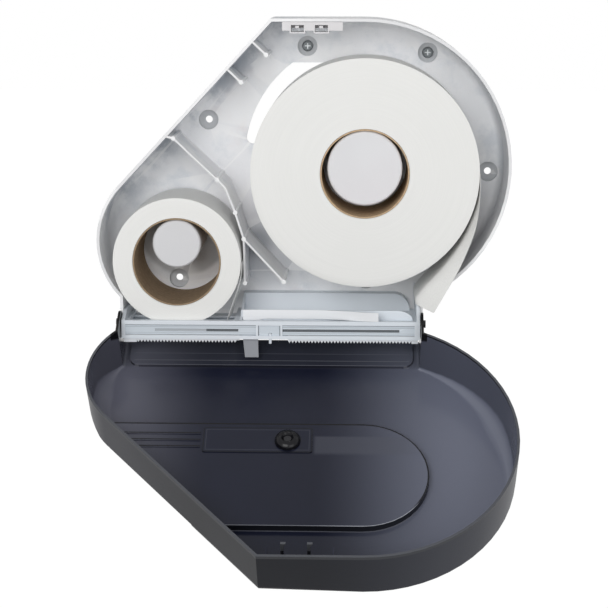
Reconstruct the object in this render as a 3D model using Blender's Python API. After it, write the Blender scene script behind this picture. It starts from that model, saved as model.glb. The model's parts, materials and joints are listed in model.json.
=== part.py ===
"""Wall-mounted twin-roll toilet paper dispenser, with its cover hanging open.

Metres, +Z up, +Y into the wall. The origin is on the wall plane, on the large hub's axis.
Depths are given as a distance out from the wall, so a depth d lies at y = -d.
"""

import math

import bmesh
import bpy
from mathutils import Matrix, Vector

MM = 0.001

# Fits
CLEARANCE = 0.3 * MM
OVERRUN = 2.0 * MM
EMBED = 1.0 * MM
WELD = 0.001 * MM

# Casing outline, seen from the front
BIG_RADIUS = 149.0 * MM
SMALL_RADIUS = 84.0 * MM
STUB_X = -192.0 * MM
STUB_Z = -78.0 * MM
CORNER_X = -96.0 * MM
CHIN_LEFT = -252.8 * MM
CHIN_RIGHT = 60.9 * MM
ARC_END_GAP = math.radians(4.0)
BIG_ARC_END = ARC_END_GAP - math.acos(CHIN_RIGHT / BIG_RADIUS)
SMALL_ARC_START = math.pi + math.acos((STUB_X - CHIN_LEFT) / SMALL_RADIUS) - ARC_END_GAP
BIG_ARC_STEPS = 28
SMALL_ARC_STEPS = 16

# Base casing
BASE_DEPTH = 80.0 * MM
BASE_WALL = 3.0 * MM
BACK_WALL = 2.5 * MM
BACK_HOLLOW = 6.0 * MM
BASE_BOTTOM = -178.0 * MM
BASE_FILLET = 9.0 * MM
INNER_FACE = BACK_HOLLOW + BACK_WALL

# Screw dimples
DIMPLE_RADIUS = 10.3 * MM
DIMPLE_WALL = 2.2 * MM
DIMPLE_FLOOR = 2.5 * MM
SCREW_HOLE_RADIUS = 3.7 * MM
TOP_LEFT_DROP = 30.2 * MM
TOP_RIGHT_DROP = 36.8 * MM
RIGHT_MARGIN = 18.9 * MM
TOP_LEFT_SCREW = (-60.6 * MM, BIG_RADIUS - TOP_LEFT_DROP)
TOP_RIGHT_SCREW = (65.0 * MM, BIG_RADIUS - TOP_RIGHT_DROP)
DIAGONAL_HOLE = (-165.0 * MM, 41.7 * MM)
RIGHT_HOLE = (BIG_RADIUS - RIGHT_MARGIN, -12.1 * MM)
LOW_LEFT_HOLE = (-198.7 * MM, -128.5 * MM)
LOW_RIGHT_HOLE = (1.9 * MM, -128.5 * MM)
SCREW_HEAD_RADIUS = 5.9 * MM
SCREW_HEAD_HEIGHT = 3.4 * MM
SCREW_CHAMFER = 1.2 * MM
SCREW_SHANK_RADIUS = 2.3 * MM
SCREW_CROSS_LENGTH = 6.0 * MM
SCREW_CROSS_WIDTH = 1.3 * MM
SCREW_CROSS_DEPTH = 1.4 * MM

# Window in the back wall
WINDOW_MARGIN = 22.0 * MM
WINDOW_WIDTH = 29.0 * MM
WINDOW_TOP_DROP = 25.3 * MM
WINDOW_OUTER_RADIUS = BIG_RADIUS - WINDOW_MARGIN
WINDOW_INNER_RADIUS = WINDOW_OUTER_RADIUS - WINDOW_WIDTH
WINDOW_TOP = WINDOW_OUTER_RADIUS - WINDOW_TOP_DROP
WINDOW_LOW_ANGLE = math.radians(172.0)
WINDOW_TOP_ANGLE = math.radians(110.0)
WINDOW_CORNER = 6.0 * MM
WINDOW_STEPS = 12

# Ribs, with a round post at each end
RIB_THICKNESS = 2.0 * MM
RIB_DROP = 1.0 * MM
POST_RADIUS = 2.4 * MM
POST_DROP = 0.6 * MM
SHORT_RIB_LENGTH = 20.5 * MM
UPPER_RIB_DROP = 21.5 * MM
LOWER_RIB_DROP = 49.0 * MM
UPPER_RIB_Z = BIG_RADIUS - UPPER_RIB_DROP
LOWER_RIB_Z = BIG_RADIUS - LOWER_RIB_DROP
DIVIDER_START = (-203.5 * MM, 30.5 * MM)
DIVIDER_TOP_POST = (-195.3 * MM, 28.5 * MM)
DIVIDER_BEND_POST = (-151.0 * MM, -13.5 * MM)
DIVIDER_BEND = (-142.7 * MM, -21.8 * MM)
DIVIDER_MIDDLE_POST = (-132.6 * MM, -47.4 * MM)
DIVIDER_FORK_POST = (-124.0 * MM, -74.8 * MM)
DIVIDER_LOW_POST = (-123.1 * MM, -120.8 * MM)
DIVIDER_BRANCH_POST = (-82.9 * MM, -119.2 * MM)

# Depth of the bottom tray past the casing's rim
TRAY_REACH = 18.0 * MM
TRAY_FRONT = BASE_DEPTH + TRAY_REACH
BAND_THICKNESS = 4.0 * MM
BAND_BACK = TRAY_FRONT - BAND_THICKNESS

# Hubs and rolls
BIG_HUB_RADIUS = 38.0 * MM
SMALL_HUB_RADIUS = 24.8 * MM
HUB_WALL = 2.5 * MM
HUB_DROP = 2.5 * MM
HUB_CHAMFER = 1.5 * MM
HUB_BOSS_HEIGHT = 5.0 * MM
WALL_PAD_RADIUS = 20.0 * MM
CORE_INNER_RADIUS = 43.8 * MM
CORE_WALL = 1.4 * MM
ROLL_BACK_GAP = 2.5 * MM
ROLL_FRONT_GAP = 0.5 * MM
BIG_ROLL_MARGIN = 33.0 * MM
BIG_ROLL_RADIUS = BIG_RADIUS - BIG_ROLL_MARGIN
STUB_ROLL_RADIUS = 65.8 * MM
ROLL_EDGE = 1.0 * MM
ROLL_BACK = INNER_FACE + ROLL_BACK_GAP
ROLL_FRONT = BAND_BACK - ROLL_FRONT_GAP
HUB_FRONT = ROLL_FRONT - HUB_DROP
BIG_ROLL_Z = BIG_HUB_RADIUS + CLEARANCE - CORE_INNER_RADIUS
STUB_ROLL_Z = STUB_Z + SMALL_HUB_RADIUS + CLEARANCE - CORE_INNER_RADIUS

# Hinge
EAR_RADIUS = 11.7 * MM
COVER_RIM = BASE_DEPTH + CLEARANCE
HINGE_OUT = COVER_RIM + EAR_RADIUS
HINGE_Z = -160.0 * MM
OPEN_ANGLE = math.radians(122.9)
PIN_RADIUS = 2.4 * MM
PIN_HEAD_RADIUS = 4.0 * MM
PIN_HEAD_LENGTH = 2.2 * MM

# Cover
COVER_DEPTH = 54.0 * MM
COVER_WALL = 2.5 * MM
COVER_DRAFT = 0.6 * MM
SHARP_FILLET = 3.5 * MM
SOFT_FILLET = 18.0 * MM
SOFT_FROM_SHARE = 0.45
SOFT_RAMP_SHARE = 0.3
DIAGONAL_SOFT_SHARE = 0.35
FILLET_STEPS = 4
COVER_BOTTOM = HINGE_Z - EAR_RADIUS
COVER_FRONT = COVER_RIM + COVER_DEPTH
EAR_STEPS = 8

# Recessed panel in the cover's front
PANEL_X = -0.5 * MM
PANEL_Z = 14.3 * MM
PANEL_RADIUS = 62.0 * MM
PANEL_SINK = 7.5 * MM
PANEL_STEPS = 20
CHIN_SINK = 3.2 * MM
CHIN_MARGIN = 12.3 * MM
CHIN_STEP_Z = -137.0 * MM
CHIN_CORNER = 8.0 * MM
PLATE_LEFT = -157.5 * MM
PLATE_RIGHT = -51.0 * MM
PLATE_LOW = -43.0 * MM
PLATE_HIGH = -12.7 * MM
PLATE_SINK = 1.0 * MM
PLATE_CORNER = 2.0 * MM
STRIPE_LOW = -36.4 * MM
STRIPE_PITCH = 8.6 * MM
STRIPE_COUNT = 3
STRIPE_WIDTH = 1.6 * MM
STRIPE_SINK = 0.8 * MM
STRIPE_GAP = 4.0 * MM
BADGE_X = -74.5 * MM
BADGE_Z = -26.4 * MM
BADGE_RADIUS = 13.0 * MM
BADGE_THICKNESS = 2.2 * MM
BADGE_STEM_RADIUS = 4.0 * MM
CLIP_RADIUS = 13.0 * MM
CLIP_HEIGHT = 6.0 * MM
CLIP_PIT_RADIUS = 6.2 * MM
CLIP_PIT_DEPTH = 2.5 * MM
SIDE_RIB_THICKNESS = 1.2 * MM
SIDE_RIB_DROP = 12.0 * MM
SIDE_RIB_DEPTH = 11.0 * MM
LEFT_SIDE_RIB_X = -87.0 * MM
RIGHT_SIDE_RIB_X = -26.5 * MM

# Latch
LATCH_LEFT = -84.0 * MM
LATCH_RIGHT = -23.0 * MM
LATCH_DROP = 12.0 * MM
LATCH_SETBACK = 1.0 * MM
LATCH_DEPTH = 23.0 * MM
LATCH_LOW = BIG_RADIUS - LATCH_DROP
LATCH_FRONT = BASE_DEPTH - LATCH_SETBACK
LATCH_BACK = LATCH_FRONT - LATCH_DEPTH
CATCH_X = (-68.6 * MM, -44.5 * MM)
CATCH_WIDTH = 13.0 * MM
CATCH_HEIGHT = 7.0 * MM
CATCH_DROP = 1.4 * MM
CATCH_LOW = LATCH_LOW - CATCH_DROP
CATCH_HIGH = CATCH_LOW + CATCH_HEIGHT
CATCH_FRAME = 1.3 * MM
SLIDER_LEFT = -80.0 * MM
SLIDER_RIGHT = -37.5 * MM
SLIDER_HEIGHT = 2.6 * MM
SLIDER_RISE = 3.7 * MM
SLIDER_LOW = CATCH_LOW + SLIDER_RISE
SLIDER_HIGH = SLIDER_LOW + SLIDER_HEIGHT
SLIDER_WIDTH = 4.0 * MM
SLIDER_INSET = 3.0 * MM
SLIDER_BACK = LATCH_BACK + SLIDER_INSET
SLIDER_FRONT = SLIDER_BACK + SLIDER_WIDTH
SLIDER_GAP = 0.4 * MM
LUG_REACH = 11.5 * MM
LUG_THICKNESS = 3.0 * MM
LUG_BACK = SLIDER_FRONT + LUG_REACH
LUG_FRONT = LUG_BACK + LUG_THICKNESS
LUG_LEFT = -2.2 * MM
LUG_ARM_LEFT = 0.0 * MM
LUG_RIGHT = 1.6 * MM
HOOK_LEFT = -5.5 * MM
HOOK_RIGHT = -2.5 * MM
BARB_RIGHT = -0.7 * MM
HOOK_PASS = 2.2 * MM
BARB_THICKNESS = 1.9 * MM
HOOK_TIP = LUG_BACK - HOOK_PASS
BARB_FRONT = HOOK_TIP + BARB_THICKNESS
HOOK_DROP = 0.8 * MM
HOOK_HEIGHT = 2.5 * MM
HOOK_LOW = SLIDER_LOW - HOOK_DROP
HOOK_HIGH = HOOK_LOW + HOOK_HEIGHT
HOOK_ROOT_GAP = 1.7 * MM
HOOK_ROOT_DEPTH = 8.0 * MM
HOOK_ROOT_BACK = COVER_RIM + HOOK_ROOT_GAP
HOOK_ROOT_FRONT = HOOK_ROOT_BACK + HOOK_ROOT_DEPTH
SPRING_RADIUS = 1.3 * MM
SPRING_WIRE = 0.35 * MM
SPRING_SPAN = 10.0 * MM

# Bottom tray
BAND_TOP = -157.0 * MM
BAND_BOTTOM = -176.0 * MM
FLOOR_TOP = -158.0 * MM
FLOOR_THICKNESS = 3.0 * MM
FLOOR_BACK = 22.0 * MM
END_PLATE = 3.5 * MM
END_TOP_RIGHT = -141.7 * MM
END_TOP_LEFT = -149.5 * MM
END_SETBACK = 1.0 * MM
END_SHOULDER = BASE_DEPTH - END_SETBACK
PARTITION_X = -128.0 * MM
PARTITION_THICKNESS = 2.5 * MM
GUIDE_TOP = -141.3 * MM
GUIDE_TOP_OUT = 24.0 * MM
GUIDE_LOW_OUT = 33.0 * MM
GUIDE_WALL = 2.5 * MM
GUIDE_CORNER = 17.0 * MM
GUIDE_STEPS = 6
EXIT_BACK = 38.0 * MM
EXIT_BAND_GAP = 12.0 * MM
EXIT_FRONT = BAND_BACK - EXIT_BAND_GAP
BAR_TOP = -163.6 * MM
BAR_THICKNESS = 2.2 * MM
BAR_BACK = 24.0 * MM
LEFT_EXIT_LEFT = -242.0 * MM
LEFT_EXIT_RIGHT = -134.0 * MM
RIGHT_EXIT_LEFT = -110.0 * MM
RIGHT_EXIT_RIGHT = 36.0 * MM
RECESS_TOP = -161.6 * MM
RECESS_LOW = -172.4 * MM
RECESS_DEPTH = 1.6 * MM
LEFT_RECESS = (-245.5 * MM, -110.7 * MM)
MIDDLE_RECESS = (-108.0 * MM, -86.0 * MM)
RIGHT_RECESS = (-83.5 * MM, 52.0 * MM)
SLOT_TOP = -165.6 * MM
SLOT_LOW = -168.4 * MM
SLOT_DEPTH = 1.2 * MM
LEFT_SLOT = (-215.0 * MM, -128.0 * MM)
RIGHT_SLOT = (-83.5 * MM, 36.5 * MM)

# Cutters
CUTTER_THICKNESS = 1.2 * MM
CUTTER_SETBACK = 2.8 * MM
CUTTER_OUT = TRAY_FRONT - CUTTER_SETBACK
CUTTER_RISE = 4.0 * MM
CUTTER_LIP = 1.5 * MM
TOOTH_PITCH = 3.33 * MM
TOOTH_DEPTH = 2.5 * MM
LEFT_CUTTER = (-247.5 * MM, -128.0 * MM)
RIGHT_CUTTER = (-78.0 * MM, 55.5 * MM)
LEFT_CUTTER_END = 13.5 * MM
RIGHT_CUTTER_END = 6.5 * MM

# Upright lip along the front of the right exit
LIP_THICKNESS = 2.0 * MM
LIP_HEIGHT = 10.0 * MM
LIP_RIGHT = 50.5 * MM
LIP_CORNER = 17.0 * MM
LIP_STEPS = 6

# Strip that stands in the floor groove
GROOVE = (PARTITION_X + PARTITION_THICKNESS + CLEARANCE, 32.0 * MM)
GROOVE_BACK = EXIT_FRONT + LIP_THICKNESS
GROOVE_WIDTH = 2.4 * MM
GROOVE_DEPTH = 2.0 * MM
STRIP = (GROOVE[0] + CLEARANCE, 15.0 * MM)
STRIP_HEIGHT = 9.3 * MM
STRIP_THICKNESS = 1.0 * MM
STRIP_FORWARD = 13.5 * MM
STRIP_LIFT = 3.0 * MM
STRIP_STEPS = 20
STRIP_LIFT_SHARES = (0.09, 0.16)
STRIP_BOW_SHARES = (0.55, 1.0)

# Shutter
SHUTTER_THICKNESS = 1.6 * MM
SHUTTER_LEFT = -127.0 * MM
SHUTTER_RIGHT = 46.0 * MM
SHUTTER_BACK = 32.3 * MM
RUNNER_THICKNESS = 2.2 * MM
FRONT_RUNNER_WIDTH = 4.0 * MM
REAR_RUNNER_LIP = 4.0 * MM
REAR_RUNNER_WALL = 2.0 * MM
TAB_THICKNESS = 2.5 * MM
TAB_TOP = (-124.4 * MM, -108.8 * MM)
TAB_LOW = (-122.5 * MM, -108.4 * MM)
TAB_BOTTOM = -196.0 * MM
STOP_PIN_X = -96.1 * MM
STOP_PIN_RADIUS = 1.5 * MM
STOP_PIN_LOW = -180.8 * MM
STOP_PIN_RISE = 6.0 * MM

# Paper tails
PAPER_THICKNESS = 0.8 * MM
TAIL_GAP = 0.4 * MM
STUB_TAIL_DRAW = (0.0, 0.5 * MM, 3.0 * MM, 5.5 * MM, 10.0 * MM, 13.0 * MM)
STUB_TAIL_FRONT_OUT = tuple(ROLL_FRONT - draw for draw in STUB_TAIL_DRAW)
STUB_TAIL_BACK_OUT = (ROLL_BACK, 12.0 * MM, 18.0 * MM, 24.0 * MM, 36.0 * MM, 40.0 * MM)
STUB_TAIL_X = (-125.4 * MM, -125.6 * MM, -127.6 * MM, -132.0 * MM, -139.0 * MM, -141.5 * MM)
STUB_TAIL_Z = (-97.0 * MM, -104.0 * MM, -118.0 * MM, -131.0 * MM, -151.0 * MM, -159.5 * MM)
TAIL_BACK_OUT = (12.5 * MM, 30.0 * MM, 55.0 * MM)
TAIL_FLARE_PAST_RIM = (-0.5 * MM, 4.0 * MM, 9.0 * MM)
TAIL_FLARE_OUT = tuple(BASE_DEPTH + past for past in TAIL_FLARE_PAST_RIM)
TAIL_OUT = TAIL_BACK_OUT + TAIL_FLARE_OUT + (ROLL_FRONT,)
TAIL_FLARE_SHARES = (0.0, 0.0, 0.0, 0.0, 0.2, 0.6, 1.0)
TAIL_BACK_X = (
    116.7 * MM,
    116.4 * MM,
    113.0 * MM,
    104.0 * MM,
    92.0 * MM,
    77.5 * MM,
    62.5 * MM,
    53.6 * MM,
    53.2 * MM,
)
TAIL_FRONT_X = (
    116.7 * MM,
    116.6 * MM,
    115.6 * MM,
    112.4 * MM,
    106.0 * MM,
    97.5 * MM,
    88.0 * MM,
    79.0 * MM,
    71.5 * MM,
)
TAIL_BACK_Z = (
    -5.4 * MM,
    -22.0 * MM,
    -42.0 * MM,
    -67.0 * MM,
    -88.0 * MM,
    -107.0 * MM,
    -123.0 * MM,
    -135.0 * MM,
    -141.2 * MM,
)
TAIL_FRONT_Z = (
    -5.4 * MM,
    -22.0 * MM,
    -42.0 * MM,
    -62.0 * MM,
    -81.0 * MM,
    -101.0 * MM,
    -119.0 * MM,
    -135.0 * MM,
    -148.5 * MM,
)

# Facets of round pieces
ROUND_STEPS = 40
HOLE_STEPS = 20
POST_STEPS = 10
PIN_STEPS = 16
CORNER_STEPS = 4


def clear_scene():
    for obj in list(bpy.data.objects):
        bpy.data.objects.remove(obj, do_unlink=True)


def place(x, out, z):
    return Vector((x, -out, z))


def material(name, colour, roughness, metallic=0.0, transmission=0.0):
    made = bpy.data.materials.new(name)
    made.use_nodes = True
    shader = made.node_tree.nodes["Principled BSDF"]
    shader.inputs["Base Color"].default_value = (*colour, 1.0)
    shader.inputs["Roughness"].default_value = roughness
    shader.inputs["Metallic"].default_value = metallic
    shader.inputs["Transmission Weight"].default_value = transmission
    return made


def object_of(name, mesh_builder):
    """A new object whose faces point out of the closed shape that mesh_builder makes."""
    shape = bmesh.new()
    mesh_builder(shape)
    bmesh.ops.recalc_face_normals(shape, faces=shape.faces)
    mesh = bpy.data.meshes.new(name)
    shape.to_mesh(mesh)
    shape.free()
    obj = bpy.data.objects.new(name, mesh)
    bpy.context.scene.collection.objects.link(obj)
    return obj


def loft(name, rings):
    """A closed solid through rings that all have as many points, capped at both ends."""

    def build(shape):
        rows = [[shape.verts.new(point) for point in ring] for ring in rings]
        for near, far in zip(rows, rows[1:]):
            for i, corner in enumerate(near):
                j = (i + 1) % len(near)
                shape.faces.new((corner, near[j], far[j], far[i]))
        shape.faces.new(rows[0])
        shape.faces.new(rows[-1])

    return object_of(name, build)


def prism_out(name, outline, near, far):
    """An outline of (x, z) points, extruded from depth near to depth far."""
    return loft(name, [[place(x, out, z) for x, z in outline] for out in (near, far)])


def prism_x(name, outline, left, right):
    """An outline of (out, z) points, extruded from x = left to x = right."""
    return loft(name, [[place(x, out, z) for out, z in outline] for x in (left, right)])


def box(name, left, right, near, far, low, high):
    return prism_out(name, [(left, low), (right, low), (right, high), (left, high)], near, far)


def turned(name, profile, x, z, steps, closed=False):
    """A solid turned about the line through (x, z) that runs out of the wall.

    The profile is a list of (radius, out). It starts and ends on the axis, or it is closed.
    """

    def build(shape):
        rows = []
        for radius, out in profile:
            if radius == 0:
                rows.append([shape.verts.new(place(x, out, z))] * steps)
                continue
            turns = [math.tau * k / steps for k in range(steps)]
            rows.append(
                [
                    shape.verts.new(place(x + radius * math.cos(a), out, z + radius * math.sin(a)))
                    for a in turns
                ]
            )
        pairs = list(zip(rows, rows[1:]))
        if closed:
            pairs.append((rows[-1], rows[0]))
        for near, far in pairs:
            for i in range(steps):
                j = (i + 1) % steps
                corners = []
                for corner in (near[i], near[j], far[j], far[i]):
                    if corner not in corners:
                        corners.append(corner)
                shape.faces.new(corners)

    return object_of(name, build)


def disc(name, x, z, radius, near, far, steps):
    return turned(name, [(0, near), (radius, near), (radius, far), (0, far)], x, z, steps)


def rod_x(name, out, z, sections, steps):
    """A round rod along x, through sections of (x, radius)."""
    turns = [math.tau * k / steps for k in range(steps)]
    rings = [
        [place(x, out + radius * math.cos(a), z + radius * math.sin(a)) for a in turns]
        for x, radius in sections
    ]
    return loft(name, rings)


def clean(mesh):
    """Welds the corners that a cut leaves on one spot, and splits every face into triangles."""
    shape = bmesh.new()
    shape.from_mesh(mesh)
    bmesh.ops.remove_doubles(shape, verts=shape.verts[:], dist=WELD)
    bmesh.ops.dissolve_degenerate(shape, edges=shape.edges[:], dist=WELD)
    bmesh.ops.triangulate(shape, faces=shape.faces[:])
    shape.to_mesh(mesh)
    shape.free()


def combine(target, others, operation):
    for other in others:
        modifier = target.modifiers.new(operation.lower(), "BOOLEAN")
        modifier.operation = operation
        modifier.solver = "EXACT"
        modifier.object = other
        other.hide_render = True
        other.display_type = "WIRE"
        bpy.context.view_layer.update()
        seen = target.evaluated_get(bpy.context.evaluated_depsgraph_get())
        mesh = bpy.data.meshes.new_from_object(seen)
        clean(mesh)
        target.modifiers.clear()
        target.data = mesh
        bpy.data.objects.remove(other, do_unlink=True)
    return target


def cut(target, *cutters):
    return combine(target, cutters, "DIFFERENCE")


def join(target, *others):
    return combine(target, others, "UNION")


def finish(obj, name, look, smooth=False, parent=None):
    """Names the finished piece, gives it its material and hangs it on its pivot."""
    obj.name = name
    obj.data.name = name
    obj.data.materials.clear()
    obj.data.materials.append(look)
    if smooth:
        obj.data.shade_smooth()
        obj.data.set_sharp_from_angle(angle=math.radians(35.0))
    if parent:
        obj.data.transform(Matrix.Translation(-parent.location))
        obj.parent = parent
    return obj


def pivot(name, x, out, z, turn=0.0):
    empty = bpy.data.objects.new(name, None)
    empty.location = place(x, out, z)
    empty.rotation_euler = (turn, 0.0, 0.0)
    bpy.context.scene.collection.objects.link(empty)
    return empty


def diagonal():
    """Direction along the diagonal wall, away from the corner, and its outward normal."""
    corner = Vector((CORNER_X, BIG_RADIUS))
    to_centre = Vector((STUB_X, STUB_Z)) - corner
    lean = math.asin(SMALL_RADIUS / to_centre.length)
    heading = math.atan2(to_centre.y, to_centre.x) - lean
    along = Vector((math.cos(heading), math.sin(heading)))
    return along, Vector((along.y, -along.x))


def casing_outline(inset, bottom):
    """The teardrop outline of (x, z) points, drawn in by inset, with its chin's bottom at bottom.

    It runs from the top left corner over the top, round the large arc, along the chin, and
    back up the small arc and the diagonal. Each call gives the same points in the same order.
    """
    along, normal = diagonal()
    slide = inset * (normal.y - 1) / along.y
    corner = Vector((CORNER_X, BIG_RADIUS)) + along * slide - normal * inset
    points = [(corner.x, corner.y)]
    radius = BIG_RADIUS - inset
    start = math.pi / 2
    for k in range(BIG_ARC_STEPS + 1):
        angle = start + (BIG_ARC_END - start) * k / BIG_ARC_STEPS
        points.append((radius * math.cos(angle), radius * math.sin(angle)))
    right = CHIN_RIGHT - inset
    left = CHIN_LEFT + inset
    points.append((right, -math.sqrt(radius * radius - right * right)))
    points.append((right, bottom))
    points.append((left, bottom))
    radius = SMALL_RADIUS - inset
    points.append((left, STUB_Z - math.sqrt(radius * radius - (left - STUB_X) ** 2)))
    end = math.atan2(normal.y, normal.x)
    for k in range(SMALL_ARC_STEPS + 1):
        angle = SMALL_ARC_START + (end - SMALL_ARC_START) * k / SMALL_ARC_STEPS
        points.append((STUB_X + radius * math.cos(angle), STUB_Z + radius * math.sin(angle)))
    return points


def outline_softness():
    """How round the cover's front edge is at each outline point, from 0 sharp to 1 soft."""
    shares = [DIAGONAL_SOFT_SHARE]
    for k in range(BIG_ARC_STEPS + 1):
        way = k / BIG_ARC_STEPS
        rise = max(0.0, way - SOFT_FROM_SHARE) / SOFT_RAMP_SHARE
        shares.append(min(1.0, rise, (1 - way) / SOFT_RAMP_SHARE))
    shares += [0.0, 0.0, 0.0, 0.0]
    for k in range(SMALL_ARC_STEPS + 1):
        way = k / SMALL_ARC_STEPS
        fall = max(DIAGONAL_SOFT_SHARE, (1 - way) / SOFT_RAMP_SHARE)
        shares.append(min(1.0, way / SOFT_RAMP_SHARE, fall))
    return shares


def rounded_box(left, right, low, high, radius):
    points = []
    sides = ((right, high), (left, high), (left, low), (right, low))
    for turn, (x, z) in enumerate(sides):
        middle_x = x - radius if x == right else x + radius
        middle_z = z - radius if z == high else z + radius
        for k in range(CORNER_STEPS + 1):
            angle = math.pi / 2 * (turn + k / CORNER_STEPS)
            points.append((middle_x + radius * math.cos(angle), middle_z + radius * math.sin(angle)))
    return points


def base_body():
    body = prism_out("base", casing_outline(0.0, BASE_BOTTOM), 0.0, BASE_DEPTH)
    low = BASE_BOTTOM - OVERRUN
    rings = []
    for k in range(FILLET_STEPS + 1):
        angle = math.pi / 2 * k / FILLET_STEPS
        inset = BASE_WALL + BASE_FILLET * (1 - math.sin(angle))
        out = INNER_FACE + BASE_FILLET * (1 - math.cos(angle))
        rings.append([place(x, out, z) for x, z in casing_outline(inset, low)])
    rings.append([place(x, BASE_DEPTH + OVERRUN, z) for x, z in casing_outline(BASE_WALL, low)])
    front_pocket = loft("front_pocket", rings)
    inner = casing_outline(BASE_WALL, BASE_BOTTOM + BASE_WALL)
    back_pocket = prism_out("back_pocket", inner, -OVERRUN, BACK_HOLLOW)
    return cut(body, front_pocket, back_pocket, stop_edge_cutter())


def stop_edge_cutter():
    """Clears the side walls in front of the line where the open cover's lower edge comes to rest."""
    up = Vector((math.sin(OPEN_ANGLE), math.cos(OPEN_ANGLE)))
    along = Vector((math.cos(OPEN_ANGLE), -math.sin(OPEN_ANGLE)))
    rest = Vector((HINGE_OUT, HINGE_Z)) - up * (EAR_RADIUS + CLEARANCE)
    reach = BASE_DEPTH
    top = rest - along * EAR_RADIUS * 2
    low = rest + along * reach
    corners = [top, low, low + up * reach, top + up * reach]
    return prism_x("stop_edge", [tuple(c) for c in corners], CHIN_LEFT - OVERRUN, CHIN_RIGHT + OVERRUN)


def window_outline():
    top_angle = math.pi - math.asin(WINDOW_TOP / WINDOW_OUTER_RADIUS)
    turn = WINDOW_CORNER / WINDOW_OUTER_RADIUS
    points = []
    for k in range(WINDOW_STEPS + 1):
        angle = top_angle + (WINDOW_LOW_ANGLE - turn - top_angle) * k / WINDOW_STEPS
        points.append((WINDOW_OUTER_RADIUS, angle))
    for k in range(1, CORNER_STEPS + 1):
        bend = math.pi / 2 * k / CORNER_STEPS
        radius = WINDOW_OUTER_RADIUS - WINDOW_CORNER * (1 - math.cos(bend))
        points.append((radius, WINDOW_LOW_ANGLE - turn * (1 - math.sin(bend))))
    for k in range(WINDOW_STEPS + 1):
        angle = WINDOW_LOW_ANGLE + (WINDOW_TOP_ANGLE - WINDOW_LOW_ANGLE) * k / WINDOW_STEPS
        points.append((WINDOW_INNER_RADIUS, angle))
    outline = [(radius * math.cos(a), radius * math.sin(a)) for radius, a in points]
    return outline + [(outline[-1][0], WINDOW_TOP)]


def rib_plate(*path):
    """A plate along a path of (x, z) points, from inside the back wall to just under the rim."""
    spots = [Vector(spot) for spot in path]
    ways = [(b - a).normalized() for a, b in zip(spots, spots[1:])]
    left, right = [], []
    for k, spot in enumerate(spots):
        before, after = ways[max(k - 1, 0)], ways[min(k, len(ways) - 1)]
        side = Vector((-before.y - after.y, before.x + after.x)).normalized()
        reach = RIB_THICKNESS / 2 / side.dot(Vector((-after.y, after.x)))
        left.append(tuple(spot + side * reach))
        right.append(tuple(spot - side * reach))
    return prism_out("rib", left + right[::-1], INNER_FACE - EMBED, BASE_DEPTH - RIB_DROP)


def post(x, z):
    return disc("post", x, z, POST_RADIUS, INNER_FACE - EMBED / 2, BASE_DEPTH - POST_DROP, POST_STEPS)


def short_rib(z):
    """A rib square to the diagonal wall, with a post at its free end."""
    along, normal = diagonal()
    way = (z - BIG_RADIUS) / along.y
    foot = Vector((CORNER_X, BIG_RADIUS)) + along * way - normal * EMBED
    tip = foot - normal * SHORT_RIB_LENGTH
    return [rib_plate(tuple(foot), tuple(tip)), post(*tip)]


def divider():
    """The wall between the two rolls. It forks into two legs below."""
    upper = (DIVIDER_START, DIVIDER_TOP_POST, DIVIDER_BEND_POST, DIVIDER_BEND)
    lower = (DIVIDER_MIDDLE_POST, DIVIDER_FORK_POST, DIVIDER_LOW_POST)
    plates = [rib_plate(*upper, *lower), rib_plate(DIVIDER_FORK_POST, DIVIDER_BRANCH_POST)]
    return plates + [post(x, z) for x, z in upper[1:3] + lower + (DIVIDER_BRANCH_POST,)]


def hub_boss(x, z, hub_radius):
    radius = hub_radius - HUB_WALL - CLEARANCE
    return disc("boss", x, z, radius, INNER_FACE - EMBED, INNER_FACE + HUB_BOSS_HEIGHT, ROUND_STEPS)


def base_shell(look):
    shell = base_body()
    dimples = (TOP_LEFT_SCREW, TOP_RIGHT_SCREW, DIAGONAL_HOLE, RIGHT_HOLE, LOW_LEFT_HOLE, LOW_RIGHT_HOLE)
    for x, z in dimples:
        cup = disc("cup", x, z, DIMPLE_RADIUS + DIMPLE_WALL, 0.0, BACK_HOLLOW + EMBED, HOLE_STEPS)
        join(shell, cup)
    dish = [
        (0, -OVERRUN),
        (SCREW_HOLE_RADIUS, -OVERRUN),
        (SCREW_HOLE_RADIUS, DIMPLE_FLOOR),
        (DIMPLE_RADIUS, DIMPLE_FLOOR),
        (DIMPLE_RADIUS, BASE_DEPTH),
        (0, BASE_DEPTH),
    ]
    cut(shell, *(turned("dish", dish, x, z, HOLE_STEPS) for x, z in dimples))
    cut(shell, prism_out("window", window_outline(), -OVERRUN, BASE_DEPTH))
    join(shell, disc("wall_pad", 0.0, 0.0, WALL_PAD_RADIUS, 0.0, BACK_HOLLOW + EMBED, HOLE_STEPS))
    join(shell, hub_boss(0.0, 0.0, BIG_HUB_RADIUS), hub_boss(STUB_X, STUB_Z, SMALL_HUB_RADIUS))
    join(shell, *short_rib(UPPER_RIB_Z), *short_rib(LOWER_RIB_Z), *divider())
    return finish(shell, "base_shell", look)


def spindle(name, x, z, radius, look):
    """A round cup on its boss, closed at the front."""
    back = INNER_FACE + CLEARANCE
    inner = radius - HUB_WALL
    profile = [
        (0, HUB_FRONT - HUB_WALL),
        (inner, HUB_FRONT - HUB_WALL),
        (inner, back),
        (radius, back),
        (radius, HUB_FRONT - HUB_CHAMFER),
        (radius - HUB_CHAMFER, HUB_FRONT),
        (0, HUB_FRONT),
    ]
    return finish(turned(name, profile, x, z, ROUND_STEPS), name, look, smooth=True)


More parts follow.
